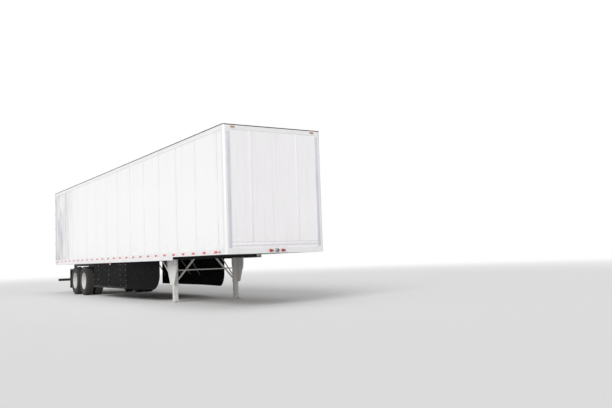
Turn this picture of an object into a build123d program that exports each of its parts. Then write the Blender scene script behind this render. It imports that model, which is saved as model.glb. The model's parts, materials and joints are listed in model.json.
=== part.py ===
from build123d import *
import os
from math import hypot

# Semi trailer: an empty dry van with swing rear doors and a sliding tandem,
# parked on its landing gear. Millimetres, +X forward, +Y left, +Z up.
# The origin is on the ground, at the middle of the trailer's box.
# A station is a distance behind the nose, and a height is above the ground.

# Driving dimensions of the body
BODY_LENGTH = 16154.0
BODY_WIDTH = 2591.0
BODY_HEIGHT = 4110.0
NOSE_PROUD = 95.0
REAR_PROUD = 60.0
ROOF_T = 4.0
WALL_T = 12.0
FRONT_WALL_T = 25.0
FRONT_WALL_INSET = 6.0
FLOOR_TOP = 1285.0
FLOOR_T = 35.0
FLOOR_BOARDS = 8
BOARD_GAP = 3.0

# Rails along the lower and upper edges of the sides
RAIL_T = 5.0
RAIL_TOP = 1330.0
RAIL_LIP = 10.0
RAIL_FLANGE_T = 8.0
RAIL_FLANGE_W = 40.0
COUPLER_Z = 1210.0
RAIL_STEP_STATION = 3100.0
TOP_RAIL_H = 126.0

# Wall seams: an outer groove, and an inner post behind it
FIRST_SEAM = 340.0
SEAM_PITCH = 1220.0
SEAM_W = 4.0
SEAM_DEPTH = 2.0
POST_W = 100.0
POST_T = 8.0

# Front corners
CORNER_R = 75.0
CORNER_SIDE = 100.0
CORNER_FRONT = 175.0
CORNER_T = 25.0
FRONT_RAIL_DEPTH = 60.0
FRONT_RAIL_TOP_H = 116.0

# Cross-members and roof bows
BEAM_DEPTH = 102.0
BEAM_FLANGE = 57.0
BEAM_T = 5.0
BEAM_PITCH = 305.0
FIRST_BEAM = 3260.0
SHALLOW_BEAMS = 8
SHALLOW_FIRST = 200.0
SHALLOW_PITCH = 400.0
SHALLOW_W = 80.0
BOW_FIRST = 400.0
BOW_PITCH = 610.0
BOW_W = 60.0
BOW_H = 30.0

# Rear frame
FRAME_DEPTH = 110.0
POST_WIDTH = 80.0
HEADER_H = 116.0
STOP_W = 20.0
STOP_H = 25.0
SILL_BOTTOM = 1130.0

# Rear doors
DOOR_T = 30.0
DOOR_GAP = 5.0
DOOR_MEET_GAP = 6.0
DOOR_EDGE = 40.0
DOOR_RECESS = 4.0

# Door hinges, measured from the pin's centre
HINGE_HEIGHTS = (1450.0, 2040.0, 2630.0, 3220.0, 3810.0)
HINGE_BACK = 38.0
HINGE_IN = 14.0
PIN_R = 8.0
PIN_CLEARANCE = 0.3
KNUCKLE_R = 14.0
KNUCKLE_H = 56.0
KNUCKLE_GAP = 1.0
KNUCKLE_TOE = 22.0
KNUCKLE_HEEL = 10.0
KNUCKLE_BITE = 1.0
EAR_H = 18.0
STRAP_LENGTH = 250.0
STRAP_T = 8.0
STRAP_BEND = 20.0
STRAP_SLANT = 8.0
STRAP_SET = 4.0
ARM_T = 14.0

# Lock rods, with their guides, handles and keepers
ROD_R = 13.5
ROD_OFF = 22.0
ROD_Y = 250.0
ROD_OVERLAP = 40.0
ROD_GUIDE_W = 43.0
ROD_GUIDE_H = 50.0
ROD_GUIDE_END = 120.0
ROD_GUIDE_MIDDLE = 300.0
ROD_GUIDE_ABOVE_HANDLE = 260.0
ROD_CAM = 30.0
HANDLE_Z = 1650.0
HANDLE_L = 420.0
HANDLE_W = 32.0
HANDLE_T = 10.0
HANDLE_SET = 2.0
CATCH_W = 50.0
CATCH_H = 70.0
KEEPER_T = 3.0
KEEPER_LIP = 6.0
KEEPER_REACH = 40.0
KEEPER_H = 45.0
KEEPER_GAP = 8.0
KEEPER_SET = 5.0

# Underride guard and dock bumpers
GUARD_BAR_BOTTOM = 460.0
GUARD_BAR = 100.0
GUARD_HALF = 1195.0
GUARD_POST_Y = 500.0
GUARD_GUSSET = 180.0
GUARD_GUSSET_T = 10.0
BUMPER_Y = 1110.0
BUMPER_W = 110.0
BUMPER_H = 120.0

# Coupler and kingpin
KINGPIN_STATION = 914.0
PLATE_T = 8.0
PLATE_FRONT = 60.0
PLATE_REAR = 2100.0
PLATE_HALF = 900.0
PIN_COLLAR_R = 36.5
PIN_COLLAR_H = 35.0
PIN_NECK_R = 25.4
PIN_NECK_H = 35.0
PIN_FLANGE_R = 35.7
PIN_FLANGE_H = 14.0

# Landing gear
LEG_STATION = 3950.0
LEG_Y = 900.0
LEG_TUBE = 127.0
LEG_WALL = 6.0
LEG_TUBE_BOTTOM = 470.0
LEG_INNER_CLEARANCE = 0.3
LEG_INNER_TOP = 760.0
LEG_INNER_BOTTOM = 30.0
SHOE_SIZE = 254.0
SHOE_T = 10.0
SHOE_LUG_H = 95.0
SHOE_LUG_T = 12.0
SHOE_LUG_FOOT = 180.0
SHOE_LUG_TOP = 60.0
SHOE_PIN_R = 16.0
SHOE_PIN_PROUD = 10.0
WING_T = 6.0
WING_TOP_W = 700.0
WING_LOW_W = 240.0
WING_KINK_Z = 950.0
WING_BOTTOM = 480.0
BRACE = 50.0
BRACE_T = 6.0
BRACE_LOW_Z = 540.0
BRACE_BACK_STATION = 4880.0
BRACE_IN_Y = 300.0
GEARBOX = (190.0, 110.0, 210.0)
GEARBOX_TAPER = 5.0
GEARBOX_Z = 860.0
SHAFT_R = 16.0
CRANK_R = 11.0
CRANK_OUT = 60.0
CRANK_ARM = 260.0
CRANK_GRIP = 120.0

# Side skirts
SKIRT_FRONT = 4850.0
SKIRT_BEND = 7000.0
SKIRT_REAR = 10600.0
SKIRT_FRONT_Y = 1000.0
SKIRT_Y = 1250.0
SKIRT_T = 8.0
SKIRT_BOTTOM = 320.0
SKIRT_CORNER_R = 450.0
STRUT = 30.0
STRUT_LOW_Z = 620.0
STRUT_REACH = 330.0
STRUT_FROM_BEND = 200.0
STRUT_FROM_REAR = 300.0
STRUTS = 5

# Couplings on the nose
GLADHAND_Y = 160.0
GLADHAND_BASE = (30.0, 70.0, 60.0)
GLADHAND_HEAD_R = 38.0
GLADHAND_HEAD_H = 36.0
GLADHAND_NECK_W = 40.0
SOCKET_PLATE = 90.0
SOCKET_PLATE_T = 12.0
SOCKET_R = 32.0
SOCKET_BORE_R = 26.0
SOCKET_DEPTH = 48.0

# Slide rails and the sliding tandem; its thin round bars have BAR_SIDES flats
BAR_SIDES = 12
SLIDE_FRONT = 10600.0
SLIDE_RAIL_Y = 520.0
SLIDE_RAIL_T = 10.0
SLIDE_RAIL_W = 90.0
SLIDE_RAIL_BOTTOM = 1045.0
SLIDE_CLEARANCE = 0.3
SLIDE_HOLE_R = 22.0
SLIDE_HOLE_SIDES = 10
SLIDE_NOTCH = 305.0
NOTCHES_AHEAD = 2
NOTCHES_BEHIND = 6
TANDEM_STATION = 12482.0
AXLE_SPACING = 1245.0
SLIDER_HALF = 1370.0
SLIDER_H = 150.0
SLIDER_W = 90.0
SLIDER_T = 8.0
CROSS_TUBE = 80.0
CROSS_TUBE_SET = 120.0

# Lock pins, drawn back from the slide rails so that the tandem can slide
LOCK_PIN_NOTCHES = 3
LOCK_PIN_R = 19.0
LOCK_PIN_BACK = 5.0
LOCK_PIN_L = 110.0
LOCK_BRACKET_T = 8.0
LOCK_BRACKET_W = 70.0
LOCK_BRACKET_IN = 12.0
LOCK_BRACKET_RISE = 26.0
PULL_ROD_R = 8.0
PULL_BAR_R = 9.0
PULL_BAR_X = 1200.0
PULL_BAR_END = 1120.0
PULL_GRIP = 90.0
PULL_GRIP_T = 26.0

# Suspension: hangers, leaf springs, equalisers and radius rods
HANGER_REACH = 622.5
HANGER_W = 100.0
HANGER_TOP_L = 260.0
HANGER_FOOT_L = 120.0
HANGER_BOTTOM = 655.0
SPRING_W = 76.0
SPRING_PLAY = 1.0
SPRING_END_GAP = 40.0
LEAF_T = 14.0
LEAF_SHARES = (1.0, 0.78, 0.52)
SPRING_SAG = 52.0
SPRING_END_Z = 716.0
EQUALISER_HALF = 170.0
EQUALISER_FOOT = 60.0
EQUALISER_SEAT = 0.3
EQUALISER_Z = 778.0
EQUALISER_BOSS = 42.0
EQUALISER_TIP_LOW = 728.0
EQUALISER_TIP_HIGH = 760.0
EQUALISER_PIN_R = 20.0
EQUALISER_SLOT = 6.0
SUSPENSION_PIN_PROUD = 10.0
RADIUS_ROD_R = 18.0
RADIUS_EYE_R = 24.0
RADIUS_EYE_W = 54.0
RADIUS_PIN_R = 12.0
RADIUS_HIGH_Z = 676.0
RADIUS_LOW_Z = 562.0
RADIUS_EAR_T = 9.0
RADIUS_EYE_SET = 6.0

# Axles and brakes
AXLE_Z = 515.0
AXLE_R = 63.5
SPINDLE_R = 45.0
SPINDLE_SHORT = 20.0
SPIDER_R = 190.0
SPIDER_T = 10.0
SPIDER_GAP = 5.0
SEAT_L = 150.0
CAM_BACK = 106.0
CAM_R = 19.0
SLACK_ARM = 150.0
SLACK_T = 26.0
SLACK_R = 32.0
SLACK_EYE_R = 17.0
PUSH_ROD_R = 8.0
PUSH_ROD_L = 82.0
CHAMBER_Y = 330.0
CHAMBER_R = 82.0
CHAMBER_L = 170.0
CLAMP_R = 89.0
CLAMP_T = 18.0
CLAMP_BACK = 62.0
CHAMBER_ARM_OUT = 46.0
CHAMBER_ARM_T = 14.0
CHAMBER_ARM_H = 60.0
TANK_R = 120.0
TANK_L = 700.0
FLAP_W = 610.0
FLAP_BOTTOM = 230.0
FLAP_TOP = 960.0
FLAP_T = 8.0
FLAP_BACK = 700.0
FLAP_ARM_H = 50.0
FLAP_ARM_T = 30.0

# Twin wheels, measured outward from the plane where the two discs meet.
# Their rounds are rings of flats, as many as the SIDES values say.
TYRE_SIDES = 46
WHEEL_SIDES = 30
TYRE_R = 515.0
WHEEL_PLANE_Y = 977.5
DUAL_SPACING = 342.0
BEAD_R = 288.0
BEAD_HALF = 108.0
BULGE_OUT_R = 418.0
BULGE_IN_R = 400.0
BULGE_HALF = 139.5
TREAD_HALF = 118.0
RIM_IN_R = 272.0
RIM_OVERHANG = 12.0
RIM_LIP_R = 298.0
RIM_LIP_T = 8.0
RIM_WELL = 40.0
DISC_T = 12.0
DISC_GAP = 0.25
DISC_R = 235.0
DISH_R = 222.0
PILOT_R = 110.0
PILOT_CLEARANCE = 0.3
PILOT_PROUD = 20.0
HUB_FLANGE_R = 168.0
HUB_FLANGE_T = 18.0
DRUM_R = 220.0
DRUM_WALL = 16.0
DRUM_FLOOR = 14.0
DRUM_DEPTH = 225.0
HUB_NOSE_R = 72.0
HUB_NOSE = 130.0
HUB_CAP_R = 60.0
HUB_CAP = 150.0
BEARING_CLEARANCE = 0.05

# Lamps
LAMP_R = 52.0
LAMP_PROUD = 14.0
SILL_LAMPS = (700.0, 820.0, 940.0)
SILL_LAMP_Z = 1190.0
HEADER_LAMPS = (-1150.0, -150.0, 0.0, 150.0, 1150.0)
MARKER = (100.0, 18.0, 30.0)
MARKER_Z = 1235.0
REAR_MARKER_AHEAD = 150.0
FRONT_MARKER_STATION = 300.0
FRONT_MARKER_RISE = 30.0
FRONT_LAMP_IN = 245.5
MID_LAMP = (110.0, 70.0)
MID_LAMP_STATION = 8490.0

# Places that follow from the sizes above
HALF = BODY_WIDTH / 2
X_NOSE = (NOSE_PROUD + BODY_LENGTH + REAR_PROUD) / 2 - NOSE_PROUD
X_REAR = X_NOSE - BODY_LENGTH
FLOOR_LOW = FLOOR_TOP - FLOOR_T
BEAM_LOW = FLOOR_LOW - BEAM_DEPTH
RAIL_LOW = BEAM_LOW - RAIL_FLANGE_T - RAIL_LIP
SHALLOW_LOW = COUPLER_Z + PLATE_T
WEB_Y = HALF - RAIL_T
WALL_IN_Y = WEB_Y - WALL_T
ROOF_LOW = BODY_HEIGHT - ROOF_T
HEADER_LOW = ROOF_LOW - HEADER_H
X_FRAME = X_REAR + FRAME_DEPTH
JAMB_Y = HALF - POST_WIDTH
DOOR_Y = JAMB_Y - DOOR_GAP
DOOR_LOW = FLOOR_TOP + DOOR_GAP
DOOR_TOP = HEADER_LOW - DOOR_GAP
PIN_X = X_REAR - HINGE_BACK
PIN_Y = HALF - HINGE_IN
X_LEG = X_NOSE - LEG_STATION
X_TANDEM = X_NOSE - TANDEM_STATION
AXLE_X = (X_TANDEM + AXLE_SPACING / 2, X_TANDEM - AXLE_SPACING / 2)
SLIDER_TOP = SLIDE_RAIL_BOTTOM - SLIDE_CLEARANCE
SLIDER_LOW = SLIDER_TOP - SLIDER_H
SIDES = (("left", 1), ("right", -1))

os.makedirs("parts", exist_ok=True)


def behind_nose(station):
    """The X of a station, given as a distance behind the nose."""
    return X_NOSE - station


def side_view(y):
    """A plane seen from the right side: X across, Z up, extruded towards -Y."""
    return Plane(origin=(0, y, 0), x_dir=(1, 0, 0), z_dir=(0, -1, 0))


def end_view(x):
    """A plane seen from the front: Y across, Z up, extruded towards +X."""
    return Plane(origin=(x, 0, 0), x_dir=(0, 1, 0), z_dir=(1, 0, 0))


def mitre(run, rise, width):
    """How long a slanted bar's end is when it is cut level, and when it is cut upright."""
    slant = hypot(run, rise)
    return width * slant / rise, width * slant / run


def save(piece, node):
    """Labels a finished piece and writes its STEP file."""
    piece.part.label = node
    export_step(piece.part, f"parts/{node}.step")


# Floor boards, laid lengthwise between the front rail and the rear frame
floor_front = X_NOSE - FRONT_RAIL_DEPTH
floor_length = floor_front - X_FRAME
board_pitch = (2 * WEB_Y + BOARD_GAP) / FLOOR_BOARDS
with BuildPart() as floor_boards:
    with BuildSketch(Plane.XY.offset(FLOOR_LOW)):
        with Locations(((floor_front + X_FRAME) / 2, 0)):
            with GridLocations(1, board_pitch, 1, FLOOR_BOARDS):
                Rectangle(floor_length, board_pitch - BOARD_GAP)
        for sign in (1, -1):
            with Locations((X_NOSE - CORNER_SIDE / 2, sign * HALF)):
                Rectangle(CORNER_SIDE, 2 * (CORNER_T + BOARD_GAP), mode=Mode.SUBTRACT)
    extrude(amount=FLOOR_T)
save(floor_boards, "floor_boards")

# Cross-members: deep I-beams behind the coupler, shallow ones over it
beam_count = int((BODY_LENGTH - FRAME_DEPTH - BEAM_FLANGE - FIRST_BEAM) // BEAM_PITCH) + 1
with BuildPart() as cross_members:
    with BuildSketch(side_view(WEB_Y)):
        for k in range(beam_count):
            x = behind_nose(FIRST_BEAM + k * BEAM_PITCH)
            with Locations((x, FLOOR_LOW - BEAM_T / 2), (x, BEAM_LOW + BEAM_T / 2)):
                Rectangle(BEAM_FLANGE, BEAM_T)
            with Locations((x, FLOOR_LOW - BEAM_DEPTH / 2)):
                Rectangle(BEAM_T, BEAM_DEPTH)
        for k in range(SHALLOW_BEAMS):
            x = behind_nose(SHALLOW_FIRST + k * SHALLOW_PITCH)
            with Locations((x, (SHALLOW_LOW + FLOOR_LOW) / 2)):
                Rectangle(SHALLOW_W, FLOOR_LOW - SHALLOW_LOW)
    extrude(amount=2 * WEB_Y)
save(cross_members, "cross_members")

# Bottom rails: a web with an inner flange that carries the cross-members
rail_front = X_NOSE - CORNER_SIDE
rail_step = behind_nose(RAIL_STEP_STATION)
with BuildPart() as bottom_rails:
    for start, end, low, flange in (
        (rail_step, rail_front, COUPLER_Z, COUPLER_Z),
        (X_FRAME, rail_step, RAIL_LOW, RAIL_LOW + RAIL_LIP),
    ):
        with BuildSketch(end_view(start)):
            with Locations((HALF - RAIL_T / 2, (low + RAIL_TOP) / 2)):
                Rectangle(RAIL_T, RAIL_TOP - low)
            with Locations((WEB_Y - RAIL_FLANGE_W / 2, flange + RAIL_FLANGE_T / 2)):
                Rectangle(RAIL_FLANGE_W, RAIL_FLANGE_T)
        extrude(amount=end - start)
    mirror(about=Plane.XZ)
save(bottom_rails, "bottom_rails")

# Top rails: a web outside the wall with an inner flange under the roof
with BuildPart() as top_rails:
    with BuildSketch(end_view(X_FRAME)):
        with Locations((HALF - RAIL_T / 2, ROOF_LOW - TOP_RAIL_H / 2)):
            Rectangle(RAIL_T, TOP_RAIL_H)
        with Locations((WEB_Y - RAIL_FLANGE_W / 2, ROOF_LOW - RAIL_FLANGE_T / 2)):
            Rectangle(RAIL_FLANGE_W, RAIL_FLANGE_T)
    extrude(amount=rail_front - X_FRAME)
    mirror(about=Plane.XZ)
save(top_rails, "top_rails")

# Side walls: one skin a side, grooved outside at each seam with a post inside
wall_length = rail_front - X_FRAME
wall_top = ROOF_LOW - RAIL_FLANGE_T
seam_count = int((BODY_LENGTH - FRAME_DEPTH - POST_W - FIRST_SEAM) // SEAM_PITCH) + 1
seams = [behind_nose(FIRST_SEAM + k * SEAM_PITCH) for k in range(seam_count)]
for side, sign in SIDES:
    with BuildPart() as side_wall:
        with BuildSketch(Plane.XY.offset(FLOOR_TOP)):
            with Locations(((rail_front + X_FRAME) / 2, sign * (WEB_Y - WALL_T / 2))):
                Rectangle(wall_length, WALL_T)
            with Locations([(x, sign * (WALL_IN_Y - POST_T / 2)) for x in seams]):
                Rectangle(POST_W, POST_T)
            with Locations([(x, sign * (WEB_Y - SEAM_DEPTH / 2)) for x in seams]):
                Rectangle(SEAM_W, SEAM_DEPTH, mode=Mode.SUBTRACT)
        extrude(amount=wall_top - FLOOR_TOP)
    save(side_wall, f"side_wall_{side}")

# Front corner posts: one rounded extrusion at each side of the nose
corner_y = HALF - CORNER_FRONT
with BuildPart() as corner_posts:
    with BuildSketch(Plane.XY.offset(COUPLER_Z)):
        with BuildLine():
            Line((X_NOSE - CORNER_SIDE, HALF), (X_NOSE - CORNER_R, HALF))
            RadiusArc((X_NOSE - CORNER_R, HALF), (X_NOSE, HALF - CORNER_R), CORNER_R)
            Polyline(
                (X_NOSE, HALF - CORNER_R),
                (X_NOSE, corner_y),
                (X_NOSE - CORNER_T, corner_y),
                (X_NOSE - CORNER_T, HALF - CORNER_R),
            )
            RadiusArc(
                (X_NOSE - CORNER_T, HALF - CORNER_R),
                (X_NOSE - CORNER_R, HALF - CORNER_T),
                CORNER_T - CORNER_R,
            )
            Polyline(
                (X_NOSE - CORNER_R, HALF - CORNER_T),
                (X_NOSE - CORNER_SIDE, HALF - CORNER_T),
                (X_NOSE - CORNER_SIDE, HALF),
            )
        make_face()
    extrude(amount=ROOF_LOW - COUPLER_Z)
    mirror(about=Plane.XZ)
save(corner_posts, "front_corner_posts")

# Front rails across the nose, and the wall panel between them
with BuildPart() as front_rails:
    for low, high in ((COUPLER_Z, RAIL_TOP), (ROOF_LOW - FRONT_RAIL_TOP_H, ROOF_LOW)):
        with BuildSketch(Plane.XY.offset(low)):
            with Locations((X_NOSE - FRONT_RAIL_DEPTH / 2, 0)):
                Rectangle(FRONT_RAIL_DEPTH, 2 * corner_y)
        extrude(amount=high - low)
save(front_rails, "front_rails")

with BuildPart() as front_wall:
    with BuildSketch(Plane.XY.offset(RAIL_TOP)):
        with Locations((X_NOSE - FRONT_WALL_INSET - FRONT_WALL_T / 2, 0)):
            Rectangle(FRONT_WALL_T, 2 * corner_y)
    extrude(amount=ROOF_LOW - FRONT_RAIL_TOP_H - RAIL_TOP)
save(front_wall, "front_wall")

# Roof sheet and its bows
with BuildPart() as roof_sheet:
    with BuildSketch(Plane.XY.offset(ROOF_LOW)) as roof_outline:
        with Locations(((X_NOSE + X_REAR) / 2, 0)):
            Rectangle(BODY_LENGTH, BODY_WIDTH)
        fillet(roof_outline.vertices().group_by(Axis.X)[-1], CORNER_R)
    extrude(amount=ROOF_T)
save(roof_sheet, "roof_sheet")

bow_count = int((BODY_LENGTH - FRAME_DEPTH - BOW_W - BOW_FIRST) // BOW_PITCH) + 1
with BuildPart() as roof_bows:
    with BuildSketch(Plane.XY.offset(ROOF_LOW - BOW_H)):
        with Locations([(behind_nose(BOW_FIRST + k * BOW_PITCH), 0) for k in range(bow_count)]):
            Rectangle(BOW_W, 2 * (WEB_Y - RAIL_FLANGE_W))
    extrude(amount=BOW_H)
save(roof_bows, "roof_bows")

# Rear frame: posts with a door stop, header and sill
stop_depth = FRAME_DEPTH - DOOR_T - DOOR_GAP
with BuildPart() as rear_posts:
    with BuildSketch(Plane.XY.offset(FLOOR_TOP)):
        with Locations((X_REAR + FRAME_DEPTH / 2, HALF - POST_WIDTH / 2)):
            Rectangle(FRAME_DEPTH, POST_WIDTH)
        with Locations((X_FRAME - stop_depth / 2, JAMB_Y - STOP_W / 2)):
            Rectangle(stop_depth, STOP_W)
    extrude(amount=HEADER_LOW - FLOOR_TOP)
    mirror(about=Plane.XZ)
save(rear_posts, "rear_posts")

with BuildPart() as rear_header:
    with BuildSketch(side_view(HALF)):
        with Locations((X_REAR + FRAME_DEPTH / 2, ROOF_LOW - HEADER_H / 2)):
            Rectangle(FRAME_DEPTH, HEADER_H)
    extrude(amount=BODY_WIDTH)
    with BuildSketch(side_view(JAMB_Y - STOP_W)):
        with Locations((X_FRAME - stop_depth / 2, HEADER_LOW - STOP_H / 2)):
            Rectangle(stop_depth, STOP_H)
    extrude(amount=2 * (JAMB_Y - STOP_W))
save(rear_header, "rear_header")

with BuildPart() as rear_sill:
    with BuildSketch(side_view(HALF)):
        with Locations((X_REAR + FRAME_DEPTH / 2, (SILL_BOTTOM + FLOOR_TOP) / 2)):
            Rectangle(FRAME_DEPTH, FLOOR_TOP - SILL_BOTTOM)
    extrude(amount=BODY_WIDTH)
save(rear_sill, "rear_sill")

# Door hinges on the frame: two ears and a pin at each height
ear_z = KNUCKLE_H / 2 + KNUCKLE_GAP
with BuildPart() as hinge_pins:
    for z in HINGE_HEIGHTS:
        for low in (z - ear_z - EAR_H, z + ear_z):
            with BuildSketch(Plane.XY.offset(low)):
                with Locations((PIN_X, PIN_Y)):
                    Circle(KNUCKLE_R)
                with Locations((PIN_X + HINGE_BACK / 2, PIN_Y)):
                    Rectangle(HINGE_BACK, 2 * KNUCKLE_R)
            extrude(amount=EAR_H)
        with BuildSketch(Plane.XY.offset(z - ear_z)):
            with Locations((PIN_X, PIN_Y)):
                Circle(PIN_R)
        extrude(amount=2 * ear_z)
    mirror(about=Plane.XZ)
save(hinge_pins, "door_hinge_pins")

# Rear doors, their hinge straps and their lock rods
jamb_reach = PIN_Y - DOOR_Y
strap_outer = HINGE_BACK - STRAP_T
arm_inner = HINGE_BACK - DOOR_GAP
arm_outer = arm_inner - ARM_T + KNUCKLE_BITE * 2
# Columns: distance in from the pin, and distance forward of it
strap_outline = (
    (0, KNUCKLE_R - KNUCKLE_BITE),
    (KNUCKLE_TOE, arm_inner),
    (jamb_reach + KNUCKLE_BITE, arm_inner),
    (jamb_reach + KNUCKLE_BITE, HINGE_BACK),
    (jamb_reach + DOOR_EDGE, HINGE_BACK),
    (jamb_reach + DOOR_EDGE, HINGE_BACK + DOOR_RECESS),
    (jamb_reach + STRAP_LENGTH, HINGE_BACK + DOOR_RECESS),
    (jamb_reach + STRAP_LENGTH, strap_outer),
    (jamb_reach + STRAP_SET + STRAP_SLANT, strap_outer),
    (jamb_reach + STRAP_SET, arm_outer),
    (KNUCKLE_R + STRAP_BEND, arm_outer),
    (KNUCKLE_HEEL, STRAP_SET - KNUCKLE_R),
)
rod_x = X_REAR - ROD_OFF
handle_x = rod_x - ROD_R + HANDLE_SET
door_face = X_REAR + DOOR_RECESS
rod_bottom = DOOR_LOW - ROD_OVERLAP
rod_top = DOOR_TOP + ROD_OVERLAP
rod_guides = (
    DOOR_LOW + ROD_GUIDE_END,
    HANDLE_Z + ROD_GUIDE_ABOVE_HANDLE,
    (DOOR_LOW + DOOR_TOP) / 2 + ROD_GUIDE_MIDDLE,
    DOOR_TOP - ROD_GUIDE_END,
)
catch_y = ROD_Y + HANDLE_L - CATCH_W / 2
for side, sign in SIDES:
    door_mid = sign * (DOOR_MEET_GAP / 2 + DOOR_Y) / 2
    door_width = DOOR_Y - DOOR_MEET_GAP / 2
    with BuildPart() as door:
        with BuildSketch(side_view(door_mid + door_width / 2)):
            with Locations((X_REAR + DOOR_T / 2, (DOOR_LOW + DOOR_TOP) / 2)):
                Rectangle(DOOR_T, DOOR_TOP - DOOR_LOW)
        extrude(amount=door_width)
        with BuildSketch(end_view(X_REAR)):
            with Locations((door_mid, (DOOR_LOW + DOOR_TOP) / 2)):
                Rectangle(door_width - 2 * DOOR_EDGE, DOOR_TOP - DOOR_LOW - 2 * DOOR_EDGE)
        extrude(amount=DOOR_RECESS, mode=Mode.SUBTRACT)
    save(door, f"door_{side}")

    with BuildPart() as straps:
        for z in HINGE_HEIGHTS:
            with BuildSketch(Plane.XY.offset(z - KNUCKLE_H / 2)):
                with BuildLine():
                    Polyline(
                        *[(PIN_X + forward, sign * (PIN_Y - inboard)) for inboard, forward in strap_outline],
                        close=True,
                    )
                make_face()
                with Locations((PIN_X, sign * PIN_Y)):
                    Circle(KNUCKLE_R)
                    Circle(PIN_R + PIN_CLEARANCE, mode=Mode.SUBTRACT)
            extrude(amount=KNUCKLE_H)
    save(straps, f"door_{side}_hinges")

    with BuildPart() as lock:
        with BuildSketch(Plane.XY.offset(rod_bottom)):
            with Locations((rod_x, sign * ROD_Y)):
                Circle(ROD_R)
        extrude(amount=rod_top - rod_bottom)
        for low in (rod_bottom, rod_top - ROD_CAM):
            with BuildSketch(Plane.XY.offset(low)):
                with Locations((rod_x, sign * ROD_Y)):
                    Rectangle(2 * ROD_R, ROD_CAM)
            extrude(amount=ROD_CAM)
        for z in rod_guides:
            with BuildSketch(Plane.XY.offset(z - ROD_GUIDE_H / 2)):
                with Locations(((rod_x + door_face) / 2, sign * ROD_Y)):
                    Rectangle(ROD_OFF + DOOR_RECESS, ROD_GUIDE_W)
            extrude(amount=ROD_GUIDE_H)
        with BuildSketch(end_view(handle_x - HANDLE_T / 2)):
            with Locations((sign * (ROD_Y + HANDLE_L / 2), HANDLE_Z)):
                Rectangle(HANDLE_L, HANDLE_W)
        extrude(amount=HANDLE_T)
        with BuildSketch(end_view(handle_x + HANDLE_T / 2)):
            with Locations((sign * catch_y, HANDLE_Z)):
                Rectangle(CATCH_W, CATCH_H)
        extrude(amount=door_face - handle_x - HANDLE_T / 2)
    save(lock, f"door_{side}_lock_rod")

# Keepers on the sill and the header: a plate with two lips, open to the rear
keeper_half = ROD_R + KEEPER_GAP
with BuildPart() as keepers:
    for low in (FLOOR_TOP - KEEPER_SET - KEEPER_H, HEADER_LOW + KEEPER_SET):
        with BuildSketch(Plane.XY.offset(low)):
            with Locations((X_REAR - KEEPER_T / 2, ROD_Y)):
                Rectangle(KEEPER_T, 2 * (keeper_half + KEEPER_LIP))
            for offset_y in (keeper_half + KEEPER_LIP / 2, -keeper_half - KEEPER_LIP / 2):
                with Locations((X_REAR - KEEPER_REACH / 2, ROD_Y + offset_y)):
                    Rectangle(KEEPER_REACH, KEEPER_LIP)
        extrude(amount=KEEPER_H)
    mirror(about=Plane.XZ)
save(keepers, "door_lock_keepers")

# Underride guard: a square bar on two posts with gussets in their corners
guard_x = X_REAR + GUARD_BAR / 2
guard_top = GUARD_BAR_BOTTOM + GUARD_BAR
with BuildPart() as guard:
    with BuildSketch(side_view(GUARD_HALF)):
        with Locations((guard_x, GUARD_BAR_BOTTOM + GUARD_BAR / 2)):
            Rectangle(GUARD_BAR, GUARD_BAR)
    extrude(amount=2 * GUARD_HALF)
    with BuildSketch(Plane.XY.offset(guard_top)):
        with Locations((guard_x, GUARD_POST_Y), (guard_x, -GUARD_POST_Y)):
            Rectangle(GUARD_BAR, GUARD_BAR)
    extrude(amount=SILL_BOTTOM - guard_top)
    with BuildSketch(end_view(guard_x - GUARD_GUSSET_T / 2)):
        for post_y in (GUARD_POST_Y, -GUARD_POST_Y):
            for way in (1, -1):
                corner = post_y + way * GUARD_BAR / 2
                with BuildLine():
                    Polyline(
                        (corner, guard_top),
                        (corner + way * GUARD_GUSSET, guard_top),
                        (corner, guard_top + GUARD_GUSSET),
                        close=True,
                    )
                make_face()
    extrude(amount=GUARD_GUSSET_T)
save(guard, "underride_guard")

# Dock bumpers
with BuildPart() as bumpers:
    with BuildSketch(end_view(X_REAR - REAR_PROUD)):
        with Locations((BUMPER_Y, SILL_BOTTOM + BUMPER_H / 2), (-BUMPER_Y, SILL_BOTTOM + BUMPER_H / 2)):
            Rectangle(BUMPER_W, BUMPER_H)
    extrude(amount=REAR_PROUD)
save(bumpers, "dock_bumpers")

# Lamps
marker_w, marker_t, marker_h = MARKER
mid_lamp_w, mid_lamp_h = MID_LAMP
with BuildPart() as red_lamps:
    with BuildSketch(end_view(X_REAR - LAMP_PROUD)):
        for y in SILL_LAMPS:
            with Locations((y, SILL_LAMP_Z), (-y, SILL_LAMP_Z)):
                Circle(LAMP_R)
        with Locations([(y, (HEADER_LOW + ROOF_LOW) / 2) for y in HEADER_LAMPS]):
            Rectangle(marker_w, marker_h)
    extrude(amount=LAMP_PROUD)
    for top in (HALF + marker_t, -HALF):
        with BuildSketch(side_view(top)):
            with Locations((X_FRAME + REAR_MARKER_AHEAD, MARKER_Z)):
                Rectangle(marker_w, marker_h)
        extrude(amount=marker_t)
save(red_lamps, "red_lamps")

front_lamp_y = HALF - FRONT_LAMP_IN
with BuildPart() as amber_lamps:
    for top in (HALF + marker_t, -HALF):
        with BuildSketch(side_view(top)):
            with Locations((behind_nose(FRONT_MARKER_STATION), MARKER_Z + FRONT_MARKER_RISE)):
                Rectangle(marker_w, marker_h)
        extrude(amount=marker_t)
    for top in (HALF, -WEB_Y):
        with BuildSketch(side_view(top)):
            with Locations((behind_nose(MID_LAMP_STATION), RAIL_LOW - mid_lamp_h / 2)):
                Rectangle(mid_lamp_w, mid_lamp_h)
        extrude(amount=RAIL_T)
    with BuildSketch(end_view(X_NOSE)):
        for y in (front_lamp_y, -front_lamp_y):
            with Locations((y, ROOF_LOW - FRONT_RAIL_TOP_H / 2)):
                Rectangle(marker_w, marker_h)
    extrude(amount=marker_t)
save(amber_lamps, "amber_lamps")

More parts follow.
